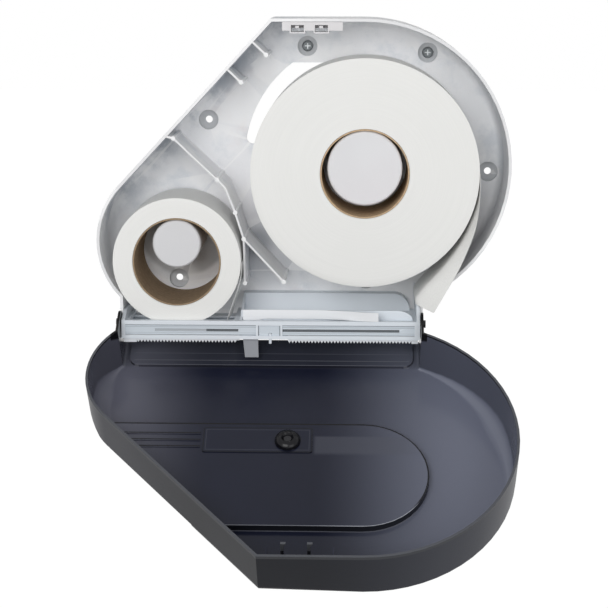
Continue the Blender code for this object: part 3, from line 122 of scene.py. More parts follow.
class Graph:
    """The node tree of one material, with its Principled shader.

    Where dull is set, a second shader of nearly no shine takes over by its share.
    """

    def __init__(self, name):
        self.material = bpy.data.materials.new(name)
        self.material.use_nodes = True
        self.tree = self.material.node_tree
        self.shader = self.tree.nodes["Principled BSDF"]
        self.output = self.tree.nodes["Material Output"]
        self.dull = None

    def fill(self, socket, value):
        """Links a signal to the socket, or sets the socket to a plain value."""
        if isinstance(value, Signal):
            self.tree.links.new(value.socket, socket)
        elif hasattr(value, "__len__") and len(value) == 3 and len(socket.default_value) == 4:
            socket.default_value = (*value, 1.0)
        else:
            socket.default_value = value

    def node(self, kind, settings, *values, out=0, **named):
        """Adds a node, fills its inputs by order or by name, and gives its output."""
        made = self.tree.nodes.new(kind)
        for key, value in settings.items():
            setattr(made, key, value)
        for i, value in enumerate(values):
            self.fill(made.inputs[i], value)
        for key, value in named.items():
            self.fill(made.inputs[key.replace("_", " ")], value)
        return Signal(self, made.outputs[out])

    def math(self, operation, *values):
        return self.node("ShaderNodeMath", {"operation": operation}, *values)

    def place(self, scale=(1.0, 1.0, 1.0), shift=(0.0, 0.0, 0.0)):
        spot = self.node("ShaderNodeTexCoord", {}, out="Object")
        return self.node("ShaderNodeMapping", {}, spot, shift, (0.0, 0.0, 0.0), scale)

    def axis(self, index):
        """The X, Y or Z of a point on the piece, in metres."""
        return self.node("ShaderNodeSeparateXYZ", {}, self.place(), out=index)

    def spot(self):
        """The X, the distance from the wall and the Z of a point on the piece, in metres."""
        return self.axis(0), 0.0 - self.axis(1), self.axis(2)

    def joined(self, x, y, z):
        return self.node("ShaderNodeCombineXYZ", {}, x, y, z)

    def noise(self, scale, detail=3.0, rough=0.5, at=None):
        at = at or self.place()
        return self.node("ShaderNodeTexNoise", {}, at, Scale=scale, Detail=detail, Roughness=rough)

    def mix(self, share, first, second):
        made = self.tree.nodes.new("ShaderNodeMix")
        made.data_type = "RGBA"
        for key, value in ((MIX_SHARE, share), (MIX_FIRST, first), (MIX_SECOND, second)):
            self.fill(made.inputs[key], value)
        return Signal(self, made.outputs[MIX_RESULT])

    def bump(self, height, distance, strength):
        return self.node("ShaderNodeBump", {}, Height=height, Distance=distance, Strength=strength)

    def edges(self, none, full):
        """1 along rubbed outer edges, 0 elsewhere."""
        return self.node("ShaderNodeNewGeometry", {}, out="Pointiness").smooth(none, full)

    def facing(self, direction):
        """How squarely the surface faces a direction, from -1 to 1."""
        normal = self.node("ShaderNodeTexCoord", {}, out="Normal")
        product = {"operation": "DOT_PRODUCT"}
        return self.node("ShaderNodeVectorMath", product, normal, direction, out="Value")

    def outer(self, centre):
        """1 on faces that look away from a point inside a hollow piece, 0 on its inner faces."""
        away = self.node("ShaderNodeVectorMath", {"operation": "SUBTRACT"}, self.place(), centre)
        return self.facing(away).above(0.0)

    def across(self, centre_x, centre_z):
        """Distance from a line that runs into the wall, the turn about it and the Y along it."""
        spot = self.place(shift=(-centre_x, 0.0, -centre_z))
        x, y, z = (self.node("ShaderNodeSeparateXYZ", {}, spot, out=i) for i in range(3))
        return self.math("SQRT", x * x + z * z), self.math("ARCTAN2", z, x), y

    def near(self, centre_x, centre_z, none, full):
        """1 close to a line that runs into the wall, with a ramp between two distances in mm."""
        radius, _, _ = self.across(centre_x * MM, centre_z * MM)
        return radius.ramp(none, full)

    def blend(self, share, second):
        """Lets a second shader take over from the Principled one by a share from 0 to 1."""
        both = self.tree.nodes.new("ShaderNodeMixShader")
        self.fill(both.inputs[0], share)
        self.tree.links.new(self.shader.outputs[0], both.inputs[1])
        self.tree.links.new(second.outputs[0], both.inputs[2])
        self.tree.links.new(both.outputs[0], self.output.inputs["Surface"])

    def finish(self, colour, rough, metal=0.0, normal=None, ior=1.45):
        """Fills the Principled shader and gives the finished material."""
        self.fill(self.shader.inputs["Base Color"], colour)
        self.fill(self.shader.inputs["Roughness"], rough)
        self.fill(self.shader.inputs["Metallic"], metal)
        self.shader.inputs["IOR"].default_value = ior
        if normal:
            self.fill(self.shader.inputs["Normal"], normal)
        if self.dull:
            plain = self.tree.nodes.new("ShaderNodeBsdfPrincipled")
            plain.inputs["Specular IOR Level"].default_value = 0.12
            self.fill(plain.inputs["Base Color"], colour)
            self.fill(plain.inputs["Roughness"], rough + 0.2)
            self.fill(plain.inputs["Normal"], normal)
            self.blend(self.dull, plain)
        return self.material


def tinted(colour, factor):
    return tuple(min(1.0, part * factor) for part in colour)


def moulded(name, colour, rough, grain, mottle, detail=None):
    """Injection moulded plastic: faint cloudy tone, a fine satin grain and lighter rubbed edges.

    A piece's own marks, such as stains and painted shade, come from detail(graph, body).
    """
    graph = Graph(name)
    cloud = graph.noise(9.0, 4.0, 0.55)
    tint = graph.noise(4.0, 2.0, 0.5, graph.place(shift=(0.3, 0.1, 0.7)))
    low = tinted(colour, 1.0 - mottle)
    high = tinted(colour, 1.0 + mottle * 0.6)
    body = graph.mix(cloud.smooth(0.3, 0.7), low, high)
    rosy = (colour[0] * 1.03, colour[1] * 0.985, colour[2] * 0.99)
    body = graph.mix(tint.smooth(0.45, 0.75) * 0.6, body, rosy)
    if detail:
        body = detail(graph, body)
    body = graph.mix(graph.edges(0.54, 0.6) * 0.5, body, tinted(colour, 1.12))
    fine = graph.noise(1400.0, 2.0, 0.6)
    scuff = graph.noise(55.0, 5.0, 0.6)
    shine = scuff.smooth(0.35, 0.75) * 0.12 + (rough - 0.06)
    height = fine * 0.6 + scuff * 0.4
    return graph.finish(body, shine, normal=graph.bump(height, grain * MM, 0.5))


# Marks of the casing in mm: X and Z run from the large hub's centre
STUB_HUB = (-192.0, -78.0)
SLANT_TOP = (-96.0, 149.0)
SMALL_RADIUS = 84.0
CASING_RIM = (76.0, 77.5)
DIMPLES = (
    (-60.6, 118.8),
    (65.0, 112.2),
    (-165.0, 41.7),
    (130.1, -12.1),
    (-198.7, -128.5),
    (1.9, -128.5),
)
# Shade on the back wall: its centre, the radius of none and of all of it, its share and colour
WALL_SHADES = (
    (*STUB_HUB, 50.0, 44.0, 0.5, (0.22, 0.22, 0.225)),
    (-96.0, -92.0, 62.0, 18.0, 0.4, (0.36, 0.385, 0.42)),
    (-114.0, -88.0, 24.0, 5.0, 0.6, (0.20, 0.225, 0.26)),
)


def slanted_wall():
    """Outward normal of the casing's slanted wall, and its distance from the large hub."""
    corner, stub = Vector(SLANT_TOP) * MM, Vector(STUB_HUB) * MM
    way = stub - corner
    heading = math.atan2(way.y, way.x) - math.asin(SMALL_RADIUS * MM / way.length)
    normal = Vector((math.sin(heading), -math.cos(heading)))
    return normal, normal.dot(corner)


def stains_and_shade(rim):
    """Marks of the casing: cloudy stains, painted shade by its walls, in its dimples and on its
    right wall, a pale rim and pale rib tops.
    """

    def detail(graph, body):
        x, out, z = graph.spot()
        blue = graph.noise(24.0, 5.0, 0.62)
        rosy = graph.noise(19.0, 4.0, 0.6, graph.place(shift=(0.37, 0.0, 0.61)))
        pale = graph.noise(32.0, 5.0, 0.6, graph.place(shift=(0.11, 0.0, 0.83)))
        speck = graph.noise(900.0, 2.0, 0.5)
        body = graph.mix(blue.smooth(0.50, 0.68) * 0.45, body, (0.60, 0.645, 0.70))
        body = graph.mix(rosy.smooth(0.55, 0.72) * 0.45, body, (0.80, 0.735, 0.735))
        body = graph.mix(pale.smooth(0.52, 0.70) * 0.40, body, (0.90, 0.90, 0.90))
        body = graph.mix(speck.smooth(0.60, 0.75) * 0.12, body, (0.50, 0.50, 0.52))
        inner = graph.facing((0.0, 1.0, 0.0)).below(0.5)
        normal, reach = slanted_wall()
        depth = reach - (x * normal.x + z * normal.y)
        shade = depth.ramp(30.0, 3.0) * depth.above(1.5 * MM) * blue.smooth(0.36, 0.56)
        shade = shade * out.ramp(74.0, 50.0) * inner
        body = graph.mix(shade * 0.75, body, (0.36, 0.40, 0.46))
        # Painted shade: darker in each dimple's well
        for centre_x, centre_z in DIMPLES:
            dimple_shade = graph.near(centre_x, centre_z, 10.9, 10.0) * out.ramp(20.0, 12.0) * inner
            body = graph.mix(dimple_shade * 0.55, body, (0.42, 0.44, 0.46))
        for centre_x, centre_z, none, full, share, colour in WALL_SHADES:
            spread = graph.near(centre_x, centre_z, none, full) * out.ramp(30.0, 12.0) * inner
            body = graph.mix(spread * share, body, colour)
        # Painted shade on the inner face of the right wall
        right = graph.facing((-1.0, 0.0, 0.0)).smooth(0.25, 0.9) * x.above(50.0 * MM)
        body = graph.mix(right * 0.5, body, (0.34, 0.36, 0.39))
        return graph.mix(out.ramp(*CASING_RIM), body, rim)

    return detail


# Marks of the tray's front band in mm: heights (Z), distances from the wall, and ends along X
BAND_FACE = 94.4
RECESS_FLOOR = (95.9, 97.4)
RECESS_HEIGHT = (-172.4, -161.6)
RECESSES = ((-245.5, -110.7), (-83.5, 52.0))
GROOVE_LINES = (
    (-161.9, -161.1, 0.75),
    (-164.0, -163.4, 0.35),
    (-170.0, -169.5, 0.4),
    (-172.2, -171.4, 0.75),
)
SLOT_HEIGHT = (-168.4, -165.6)
SLOTS = ((-215.0, -162.0, 0.45), (-162.0, -129.0, 0.9), (-83.5, 36.5, 0.9))
PLATE_BORDERS = ((-108.6, -107.7), (-86.6, -85.7))


def grooved(shade, edge):
    """Painted shade on the tray's band: on the floors of its recesses, in its slots and grooves and
    round its small plain plate.
    """

    def detail(graph, body):
        x, out, z = graph.spot()
        face = out.above(BAND_FACE * MM)
        # Painted shade on the floors of the recesses
        recess_shade = out.spans(*RECESS_FLOOR) * z.spans(*RECESS_HEIGHT)
        body = graph.mix(recess_shade * 0.45, body, (0.46, 0.53, 0.59))
        for ends in RECESSES:
            for low, high, share in GROOVE_LINES:
                # Painted shade in the grooves
                line = z.spans(low, high) * x.spans(*ends)
                body = graph.mix(line * face * share, body, edge)
        for low, high, share in SLOTS:
            # Painted shade in the slots
            slot = z.spans(*SLOT_HEIGHT) * x.spans(low, high)
            body = graph.mix(slot * face * share, body, shade)
        for ends in PLATE_BORDERS:
            # Painted shade round the small plain plate
            border_shade = x.spans(*ends) * z.spans(*RECESS_HEIGHT)
            body = graph.mix(border_shade * face * 0.8, body, edge)
        return body

    return detail


def smoke_plastic(name, colour, detail=None):
    """Polished dark plastic with faint swirls of fine handling scratches and a little dust."""
    graph = Graph(name)
    dust = graph.noise(160.0, 6.0, 0.7)
    cloud = graph.noise(6.0, 3.0, 0.5)
    streak = graph.noise(420.0, 2.0, 0.5, graph.place(scale=(0.12, 1.0, 1.0)))
    body = graph.mix(cloud.smooth(0.3, 0.7), tinted(colour, 0.86), tinted(colour, 1.14))
    if detail:
        body = detail(graph, body)
    body = graph.mix(dust.smooth(0.66, 0.84) * 0.05, body, (0.16, 0.17, 0.19))
    rough = cloud.smooth(0.3, 0.8) * 0.06 + streak.smooth(0.55, 0.8) * 0.04 + 0.16
    wave = graph.noise(14.0, 2.0, 0.4)
    height = wave * 0.9 + streak * 0.02
    return graph.finish(body, rough, normal=graph.bump(height, 0.08 * MM, 0.5), ior=1.3)


def joint_facts(name):
    """What the frame's record says of one joint."""
    return next(item for item in frame["record"]["behaviour"]["joints"] if item["name"] == name)


def hinge_facts():
    """The hinge line (distance from the wall, height) and how far the cover hangs open."""
    joint = joint_facts("cover_hinge")
    return -joint["pos_m"][1], joint["pos_m"][2], math.radians(joint["range_deg"][1])


# Marks of the cover in mm, as they stand when it is closed: the centre and radius of the panel's
# round end, the centre and half sizes of the name plate, the lower edges of the stripes, the
# heights and shares of the painted highlights on the chin's folds, and distances from the wall
PANEL = (-0.5, 14.3, 64.5)
PANEL_DEPTH = (122.5, 126.0)
PLATE = (-104.2, -27.8, 53.2, 15.2)
STRIPES = (-37.1, -28.5, -19.9)
STRIPES_END = -161.0
CHIN_HIGHLIGHTS = ((-135.1, 0.55), (-141.5, 0.45), (-151.5, 0.2))
CHIN_ENDS = (-238.0, 47.0)
CHIN_DEPTH = 122.0
FLOOR_DEPTH = 130.5
EARS = (-257.0, 64.0)
COVER_RIM = 80.3
# Near black of the painted shadow lines by the panel and the stripes, and of the line inside the
# rim
LINE_BLACK = (0.002, 0.002, 0.003)


def panel_lines(graph, body, x, rise, plateau, floor):
    """Painted lines about the race-track panel: a painted shadow at its far edge, painted
    highlights at its near edge and on the floor beside its step.
    """
    centre_x, centre_z, radius = PANEL
    past = graph.math("MAXIMUM", x - centre_x * MM, 0.0)
    lift = rise - centre_z * MM
    reach = graph.math("SQRT", past * past + lift * lift)
    near = rise.ramp(46.0, 62.0)
    bright = x.ramp(-60.0, 0.0)
    # Painted shadow along the far edge
    far_edge_shadow = plateau * reach.above((radius - 1.6) * MM) * (1.0 - near)
    body = graph.mix(far_edge_shadow * 0.95, body, LINE_BLACK)
    # Painted highlight along the near edge, brighter to the right
    edge = plateau * reach.above((radius - 0.9) * MM) * near
    body = graph.mix(edge * (bright * 0.5 + 0.35), body, (0.40, 0.42, 0.47))
    # Painted highlight on the floor beside the step
    foot_highlight = floor * reach.spans(radius - 0.3, radius + 1.2) * near
    return graph.mix(foot_highlight * 0.5, body, (0.15, 0.155, 0.18))


def plate_lines(graph, body, x, rise, plateau):
    """Painted shade and highlight lines round the blank name plate, painted shadows of the stripes
    beside it and the painted glare to its right.
    """
    centre_x, centre_z, half_x, half_z = PLATE
    side = graph.math("ABSOLUTE", x - centre_x * MM) - half_x * MM
    height = graph.math("ABSOLUTE", rise - centre_z * MM) - half_z * MM
    edge = graph.math("MAXIMUM", side, height)
    # Painted shade along the plate's edge and a painted highlight just inside it
    body = graph.mix(plateau * edge.spans(-0.4, 0.8) * 0.8, body, (0.005, 0.006, 0.010))
    body = graph.mix(plateau * edge.spans(-2.6, -1.7) * 0.5, body, (0.055, 0.060, 0.080))
    # Painted shadows of the ridges of the stripes
    for low in STRIPES:
        stripe_shadow = rise.spans(low, low + 1.4) * x.below(STRIPES_END * MM)
        body = graph.mix(plateau * stripe_shadow * 0.9, body, LINE_BLACK)
    glare = x.ramp(-50.0, -46.0) * x.ramp(70.0, 20.0)
    glare = glare * rise.ramp(-35.0, -32.0) * rise.ramp(-8.0, -14.0)
    return graph.mix(plateau * glare * 0.45, body, (0.085, 0.09, 0.115))


def cover_middle(pivot_out, pivot_z, angle):
    """A point 30 mm before the cover's open side, which all its inner faces look at."""
    low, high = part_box("cover_shell")
    out, up = (COVER_RIM - 30.0) * MM - pivot_out, 150.0 * MM
    depth = out * math.cos(angle) + up * math.sin(angle) + pivot_out
    height = up * math.cos(angle) - out * math.sin(angle) + pivot_z
    return (low.x + high.x) / 2, -depth, height


def smoked(left, right):
    """Marks of the cover: painted light at its two ends, lighter towards the chin, painted
    highlights on its fillets, rim and moulded steps, painted shade and shadow lines, and a dark
    line at the rim.

    They are measured on the closed cover, so each point is turned back about the hinge first.
    """

    def detail(graph, body):
        pivot_out, pivot_z, angle = hinge_facts()
        x, out, z = graph.spot()
        out, up = out - pivot_out, z - pivot_z
        front = out * math.cos(angle) - up * math.sin(angle) + pivot_out
        rise = out * math.sin(angle) + up * math.cos(angle) + pivot_z
        outside = graph.outer(cover_middle(pivot_out, pivot_z, angle))
        inside = 1.0 - outside
        tilt = graph.facing((0.0, math.cos(angle), math.sin(angle)))
        # Painted light: lighter towards both ends
        body = graph.mix(x.ramp(-150.0, -280.0), body, left)
        body = graph.mix(x.ramp(-50.0, 110.0), body, right)
        body = graph.mix(rise.ramp(-132.0, -138.0) * 0.4, body, (0.050, 0.053, 0.063))
        # Painted highlight on the inner fillets, mostly at the right end
        fillet_highlight = tilt.smooth(0.25, 0.62) * (1.0 - tilt.smooth(0.90, 0.985))
        fillet_highlight = fillet_highlight * inside * front.above(100.0 * MM)
        body = graph.mix(fillet_highlight * x.ramp(30.0, 100.0) * 0.35, body, (0.24, 0.255, 0.31))
        body = graph.mix(fillet_highlight * x.ramp(-200.0, -260.0) * 0.2, body, (0.20, 0.205, 0.24))
        # Painted shade on the inner walls
        wall = inside * tilt.smooth(0.35, 0.05)
        body = graph.mix(wall * 0.45, body, (0.010, 0.010, 0.015))
        plateau = inside * front.spans(*PANEL_DEPTH) * tilt.above(0.9)
        floor = inside * front.above(FLOOR_DEPTH * MM)
        body = panel_lines(graph, body, x, rise, plateau, floor)
        body = plate_lines(graph, body, x, rise, plateau)
        chin = inside * front.above(CHIN_DEPTH * MM) * x.spans(*CHIN_ENDS)
        # Painted highlights along the chin's folds
        for height, share in CHIN_HIGHLIGHTS:
            fold_highlight = rise.spans(height - 0.45, height + 0.45) * chin
            body = graph.mix(fold_highlight * share, body, (0.17, 0.175, 0.20))
        # Painted shade: the outer faces darker
        body = graph.mix(outside * 0.8, body, (0.008, 0.0085, 0.010))
        # Painted highlight on the outer faces close to the rim
        lip_highlight = outside * front.below((COVER_RIM + 3.6) * MM)
        body = graph.mix(lip_highlight * 0.7, body, (0.050, 0.052, 0.058))
        line = inside * front.below((COVER_RIM + 1.9) * MM)
        body = graph.mix(line * 0.95, body, LINE_BLACK)
        # Painted highlight on the rim's face
        face = tilt.above(0.8) * front.below((COVER_RIM + 0.8) * MM)
        body = graph.mix(face * 0.85, body, (0.10, 0.105, 0.12))
        ear = z.ramp(-174.5, -171.5) * x.spans(*EARS)
        graph.dull = outside
        return graph.mix(ear, body, (0.004, 0.004, 0.005))

    return detail


def tissue(name, colour, centre):
    """Wound tissue: thin rings on the ends and a soft embossed sheet round the outside."""
    graph = Graph(name)
    radius, turn, _ = graph.across(*centre)
    ply = graph.noise(1.0, 4.0, 0.65, graph.joined(radius * 900.0, turn * 0.6, 0.0))
    coarse = graph.noise(1.0, 3.0, 0.6, graph.joined(radius * 160.0, turn * 0.5, 2.0))
    fluff = graph.noise(420.0, 4.0, 0.7)
    cloud = graph.noise(16.0, 3.0, 0.5)
    body = graph.mix(ply.smooth(0.3, 0.75), tinted(colour, 0.98), tinted(colour, 1.01))
    body = graph.mix(coarse.smooth(0.5, 0.8) * 0.2, body, tinted(colour, 0.95))
    body = graph.mix(cloud.smooth(0.4, 0.8) * 0.3, body, tinted(colour, 0.965))
    height = ply * 0.45 + fluff * 0.4 + coarse * 0.3
    return graph.finish(body, 0.93, normal=graph.bump(height, 0.22 * MM, 0.5), ior=1.35)


def web(name, colour):
    """A single sheet of tissue: crepe ridges across it and a soft fibre grain."""
    graph = Graph(name)
    crepe = graph.noise(1.0, 3.0, 0.6, graph.place(scale=(900.0, 70.0, 900.0)))
    fluff = graph.noise(380.0, 4.0, 0.7)
    cloud = graph.noise(20.0, 3.0, 0.5)
    body = graph.mix(crepe.smooth(0.3, 0.7), tinted(colour, 0.95), tinted(colour, 1.02))
    body = graph.mix(cloud.smooth(0.4, 0.8) * 0.4, body, tinted(colour, 0.94))
    height = crepe * 0.5 + fluff * 0.5
    return graph.finish(body, 0.95, normal=graph.bump(height, 0.3 * MM, 0.6), ior=1.35)


def kraft(name, colour, centre):
    """Brown board wound in a spiral: fibres, paler clouds and a darker lap line."""
    graph = Graph(name)
    radius, turn, depth = graph.across(*centre)
    spiral = graph.math("FRACT", turn / math.tau + depth / (58.0 * MM))
    lap = 1.0 - graph.math("ABSOLUTE", spiral - 0.5).smooth(0.0, 0.03)
    strands = graph.joined(turn * 14.0, depth * 260.0, radius * 200.0)
    fibre = graph.noise(1.0, 4.0, 0.7, strands)
    cloud = graph.noise(24.0, 3.0, 0.6)
    body = graph.mix(fibre.smooth(0.3, 0.75), tinted(colour, 0.82), tinted(colour, 1.22))
    body = graph.mix(cloud.smooth(0.4, 0.7) * 0.4, body, tinted(colour, 1.12))
    body = graph.mix(lap * 0.55, body, tinted(colour, 0.62))
    height = fibre * 0.6 - lap * 0.8
    return graph.finish(body, 0.86, normal=graph.bump(height, 0.3 * MM, 0.6), ior=1.4)


def plated(name, colour, rough, cross_colour=None):
    """Zinc plated steel with a blotchy dark passivation and bright rubbed edges.

    cross_colour (distance from the wall, colour) is a lighter colour deeper down, in a screw's
    cross.
    """
    graph = Graph(name)
    blotch = graph.noise(700.0, 4.0, 0.6)
    body = graph.mix(blotch.smooth(0.35, 0.7), tinted(colour, 0.8), tinted(colour, 1.35))
    if cross_colour:
        _, out, _ = graph.spot()
        depth, cross_tone = cross_colour
        body = graph.mix(out.below(depth), body, cross_tone)
    body = graph.mix(graph.edges(0.52, 0.6) * 0.7, body, tinted(colour, 2.0))
    shine = blotch.smooth(0.3, 0.8) * 0.16 + rough
    return graph.finish(body, shine, metal=0.85, normal=graph.bump(blotch, 0.05 * MM, 0.4))


# Modelling helpers


def settings():
    return bpy.context.scene.dispenser_sizes, bpy.context.scene.dispenser_colours


def only(piece):
    """Selects one piece alone and makes it the active one."""
    if bpy.context.mode != "OBJECT":
        bpy.ops.object.mode_set(mode="OBJECT")
    bpy.ops.object.select_all(action="DESELECT")
    piece.select_set(True)
    bpy.context.view_layer.objects.active = piece


def edit(piece, kind="VERT"):
    only(piece)
    bpy.ops.object.mode_set(mode="EDIT")
    bpy.ops.mesh.select_mode(type=kind)
    bpy.ops.mesh.select_all(action="SELECT")


def done():
    bpy.ops.object.mode_set(mode="OBJECT")


def pick_faces(piece, test):
    """Selects the faces of the piece in edit mode that pass the test."""
    bpy.ops.mesh.select_all(action="DESELECT")
    bpy.ops.object.mode_set(mode="OBJECT")
    for face in piece.data.polygons:
        face.select = test(face)
    bpy.ops.object.mode_set(mode="EDIT")
    bpy.ops.mesh.select_mode(type="FACE")


def apply_modifier(piece, kind, **values):
    only(piece)
    modifier = piece.modifiers.new(kind.title(), kind)
    for key, value in values.items():
        setattr(modifier, key, value)
    bpy.ops.object.modifier_apply(modifier=modifier.name)


def settle(piece, name, body, look, slot, *nodes, angle=35.0):
    """Puts the finished piece's place in its mesh, then hands it its material, body and nodes."""
    only(piece)
    bpy.ops.object.transform_apply(location=True, rotation=True, scale=True)
    bpy.ops.object.shade_smooth_by_angle(angle=math.radians(angle))
    piece.name = name
    piece.data.name = name
    piece.data.materials.clear()
    piece.data.materials.append(look)
    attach(piece, body)
    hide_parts(*nodes)


def refined(node, name, body, look, slot, round_off, angle=35.0):
    """A copy of a moulding with its corners merged and its sharp edges rounded off."""
    piece = bpy.data.objects.new(name, frame["nodes"][node].data.copy())
    bpy.context.scene.collection.objects.link(piece)
    only(piece)
    bpy.ops.mesh.customdata_custom_splitnormals_clear()
    edit(piece)
    bpy.ops.mesh.remove_doubles(threshold=0.01 * MM)
    bpy.ops.mesh.dissolve_limited(angle_limit=math.radians(0.4))
    bpy.ops.mesh.vert_connect_concave()
    done()
    apply_modifier(
        piece,
        "BEVEL",
        width=round_off,
        segments=2,
        limit_method="ANGLE",
        angle_limit=math.radians(32.0),
        use_clamp_overlap=True,
        miter_outer="MITER_ARC",
    )
    settle(piece, name, body, look, slot, node, angle=angle)
    apply_modifier(piece, "WEIGHTED_NORMAL", mode="FACE_AREA", weight=60, keep_sharp=True)


# Sizes and colours


def length_property(name, description, value):
    return FloatProperty(name=name, description=description, default=value, unit="LENGTH")


class DispenserSizes(PropertyGroup):
    casing_edge: length_property("Casing edge", "Rounding of the casing's edges", 0.5 * MM)
    tray_edge: length_property("Tray edge", "Rounding of the tray's edges", 0.35 * MM)
    cover_edge: length_property("Cover edge", "Rounding of the cover's edges", 0.8 * MM)
    roll_edge: length_property("Roll edge", "Rounding of the rolls' edges", 1.4 * MM)
    roll_waver: length_property("Roll waver", "Unevenness of the wound paper", 0.35 * MM)
    sheet: length_property("Sheet", "Thickness of the loose paper tails", 0.35 * MM)
    floor_drop: length_property("Floor drop", "Height of the hub above the floor", 0.62)


def colour_property(name, description, value):
    return FloatVectorProperty(
        name=name, description=description, default=value, size=3, min=0.0, max=1.0, subtype="COLOR"
    )


class DispenserColours(PropertyGroup):
    casing: colour_property("Casing", "Light grey of the back casing", (0.90, 0.91, 0.93))
    casing_top: colour_property("Casing rim", "Pale rim and rib tops", (0.75, 0.755, 0.765))
    hub: colour_property("Hubs", "Pale grey of the two hubs", (0.72, 0.725, 0.74))
    tray: colour_property("Tray", "White of the bottom tray", (0.73, 0.78, 0.83))
    slot: colour_property("Slots", "Shade in the slots of the band", (0.030, 0.038, 0.045))
    groove: colour_property("Grooves", "Shade in the grooves of the band", (0.12, 0.145, 0.17))
    cutter: colour_property("Cutters", "White of the tear strips", (0.68, 0.71, 0.74))
    strip: colour_property("Strip", "White of the loose strip", (0.80, 0.82, 0.84))
    smoke: colour_property("Cover", "Dark smoke of the cover", (0.010, 0.012, 0.026))
    # Painted light: the cover's two lighter ends stand in for soft light reflected in it
    smoke_left: colour_property("Cover left", "Smoke at its left end", (0.145, 0.148, 0.190))
    smoke_right: colour_property("Cover right", "Smoke at its right end", (0.165, 0.178, 0.235))
    clip: colour_property("Clip", "Black of the badge's clip", (0.005, 0.005, 0.007))
    badge: colour_property("Badge", "Dark grey of the blank badge", (0.022, 0.022, 0.025))
    latch: colour_property("Latch", "Pale grey of the latch block", (0.70, 0.69, 0.70))
    tab: colour_property("Tab", "Mid grey of the shutter's tab", (0.30, 0.315, 0.345))
    screw: colour_property("Screws", "Dark zinc of the wall screws", (0.115, 0.125, 0.13))
    pin: colour_property("Pins", "Black of the hinge pins", (0.02, 0.02, 0.023))
    steel: colour_property("Spring", "Bright drawn wire", (0.55, 0.55, 0.57))
    paper: colour_property("Paper", "Soft white of the tissue", (0.84, 0.84, 0.82))
    kraft: colour_property("Cores", "Brown of the board cores", (0.36, 0.26, 0.165))
    floor: colour_property("Floor", "Pale floor", (0.86, 0.86, 0.86))


# Pieces


class BuildCasing(Operator):
    """Back casing with its ribs and dimples, the two hubs and the wall screws"""

    bl_idname = "dispenser.build_casing"
    bl_label = "Casing and hubs"

    def execute(self, context):
        sizes, colours = settings()
        edge = sizes.casing_edge
        marks = stains_and_shade(tuple(colours.casing_top))
        grey = moulded("casing_grey", colours.casing, 0.46, 0.05, 0.03, marks)
        refined("base_shell", "casing", "base", grey, "base_grey", edge)
        pale = moulded("hub_grey", colours.hub, 0.5, 0.05, 0.03)
        # Painted shade: the stub's hub gets a darker copy of the same grey
        shaded_hub = moulded("hub_grey_shaded", tinted(colours.hub, 0.9), 0.5, 0.05, 0.03)
        for node, look in (("jumbo_spindle", pale), ("stub_spindle", shaded_hub)):
            refined(node, node + "_cup", "base", look, "hub_grey", edge)
        for side in ("left", "right"):
            node = "mounting_screw_" + side
            cross_colour = (-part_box(node)[0].y - 0.5 * MM, (0.50, 0.52, 0.53))
            dark = plated("screw_zinc_" + side, colours.screw, 0.35, cross_colour)
            refined(node, "wall_screw_" + side, "base", dark, "screw_steel", 0.3 * edge)
        return {"FINISHED"}


class BuildTray(Operator):
    """White bottom tray with its tear strips, loose strip, stop pin and the shutter under it"""

    bl_idname = "dispenser.build_tray"
    bl_label = "Tray and shutter"

    def execute(self, context):
        sizes, colours = settings()
        edge = sizes.tray_edge
        white = moulded("tray_white", colours.tray, 0.42, 0.04, 0.025)
        marks = grooved(tuple(colours.slot), tuple(colours.groove))
        band = moulded("tray_white_grooved", colours.tray, 0.42, 0.04, 0.025, marks)
        refined("tray_housing", "tray", "base", band, "tray_white", edge)
        refined("shutter_stop_pin", "stop_pin", "base", white, "tray_white", edge)
        refined("shutter_plate", "shutter_blade", "shutter", white, "tray_white", edge)
        teeth = moulded("cutter_white", colours.cutter, 0.36, 0.02, 0.02)
        for side in ("left", "right"):
            node = "cutter_" + side
            refined(node, "tear_strip_" + side, "base", teeth, "cutter_white", 0.3 * edge)
        strip = moulded("strip_white", colours.strip, 0.4, 0.02, 0.02)
        refined("brake_strip", "loose_strip", "base", strip, "strip_white", 0.5 * edge)
        tab = moulded("tab_grey", colours.tab, 0.45, 0.04, 0.04)
        refined("shutter_tab", "shutter_handle", "shutter", tab, "tab_grey", edge)
        return {"FINISHED"}


def coil(low, high, wire, turns=8, steps=20):
    """A coil along X that fills the box: a wire's cross-section turned by a Screw modifier."""
    middle = (low + high) / 2
    radius = (high.z - low.z) / 2 * 0.8
    bpy.ops.object.select_all(action="DESELECT")
    bpy.ops.mesh.primitive_circle_add(vertices=8, radius=wire, location=(0, 0, 0))
    piece = bpy.context.object
    edit(piece)
    bpy.ops.transform.translate(value=(radius, 0, 0))
    done()
    piece.rotation_euler = (math.radians(90.0), 0.0, 0.0)
    bpy.ops.object.transform_apply(location=True, rotation=True, scale=True)
    apply_modifier(
        piece,
        "SCREW",
        angle=math.tau * turns,
        screw_offset=high.x - low.x - 3 * wire,
        steps=steps * turns,
        render_steps=steps * turns,
    )
    edit(piece)
    bpy.ops.mesh.select_all(action="DESELECT")
    bpy.ops.mesh.select_non_manifold()
    bpy.ops.mesh.edge_face_add()
    bpy.ops.mesh.select_all(action="SELECT")
    bpy.ops.mesh.normals_make_consistent(inside=False)
    done()
    piece.rotation_euler = (0.0, math.radians(90.0), 0.0)
    piece.location = (low.x + 1.5 * wire, middle.y, middle.z)
    return piece


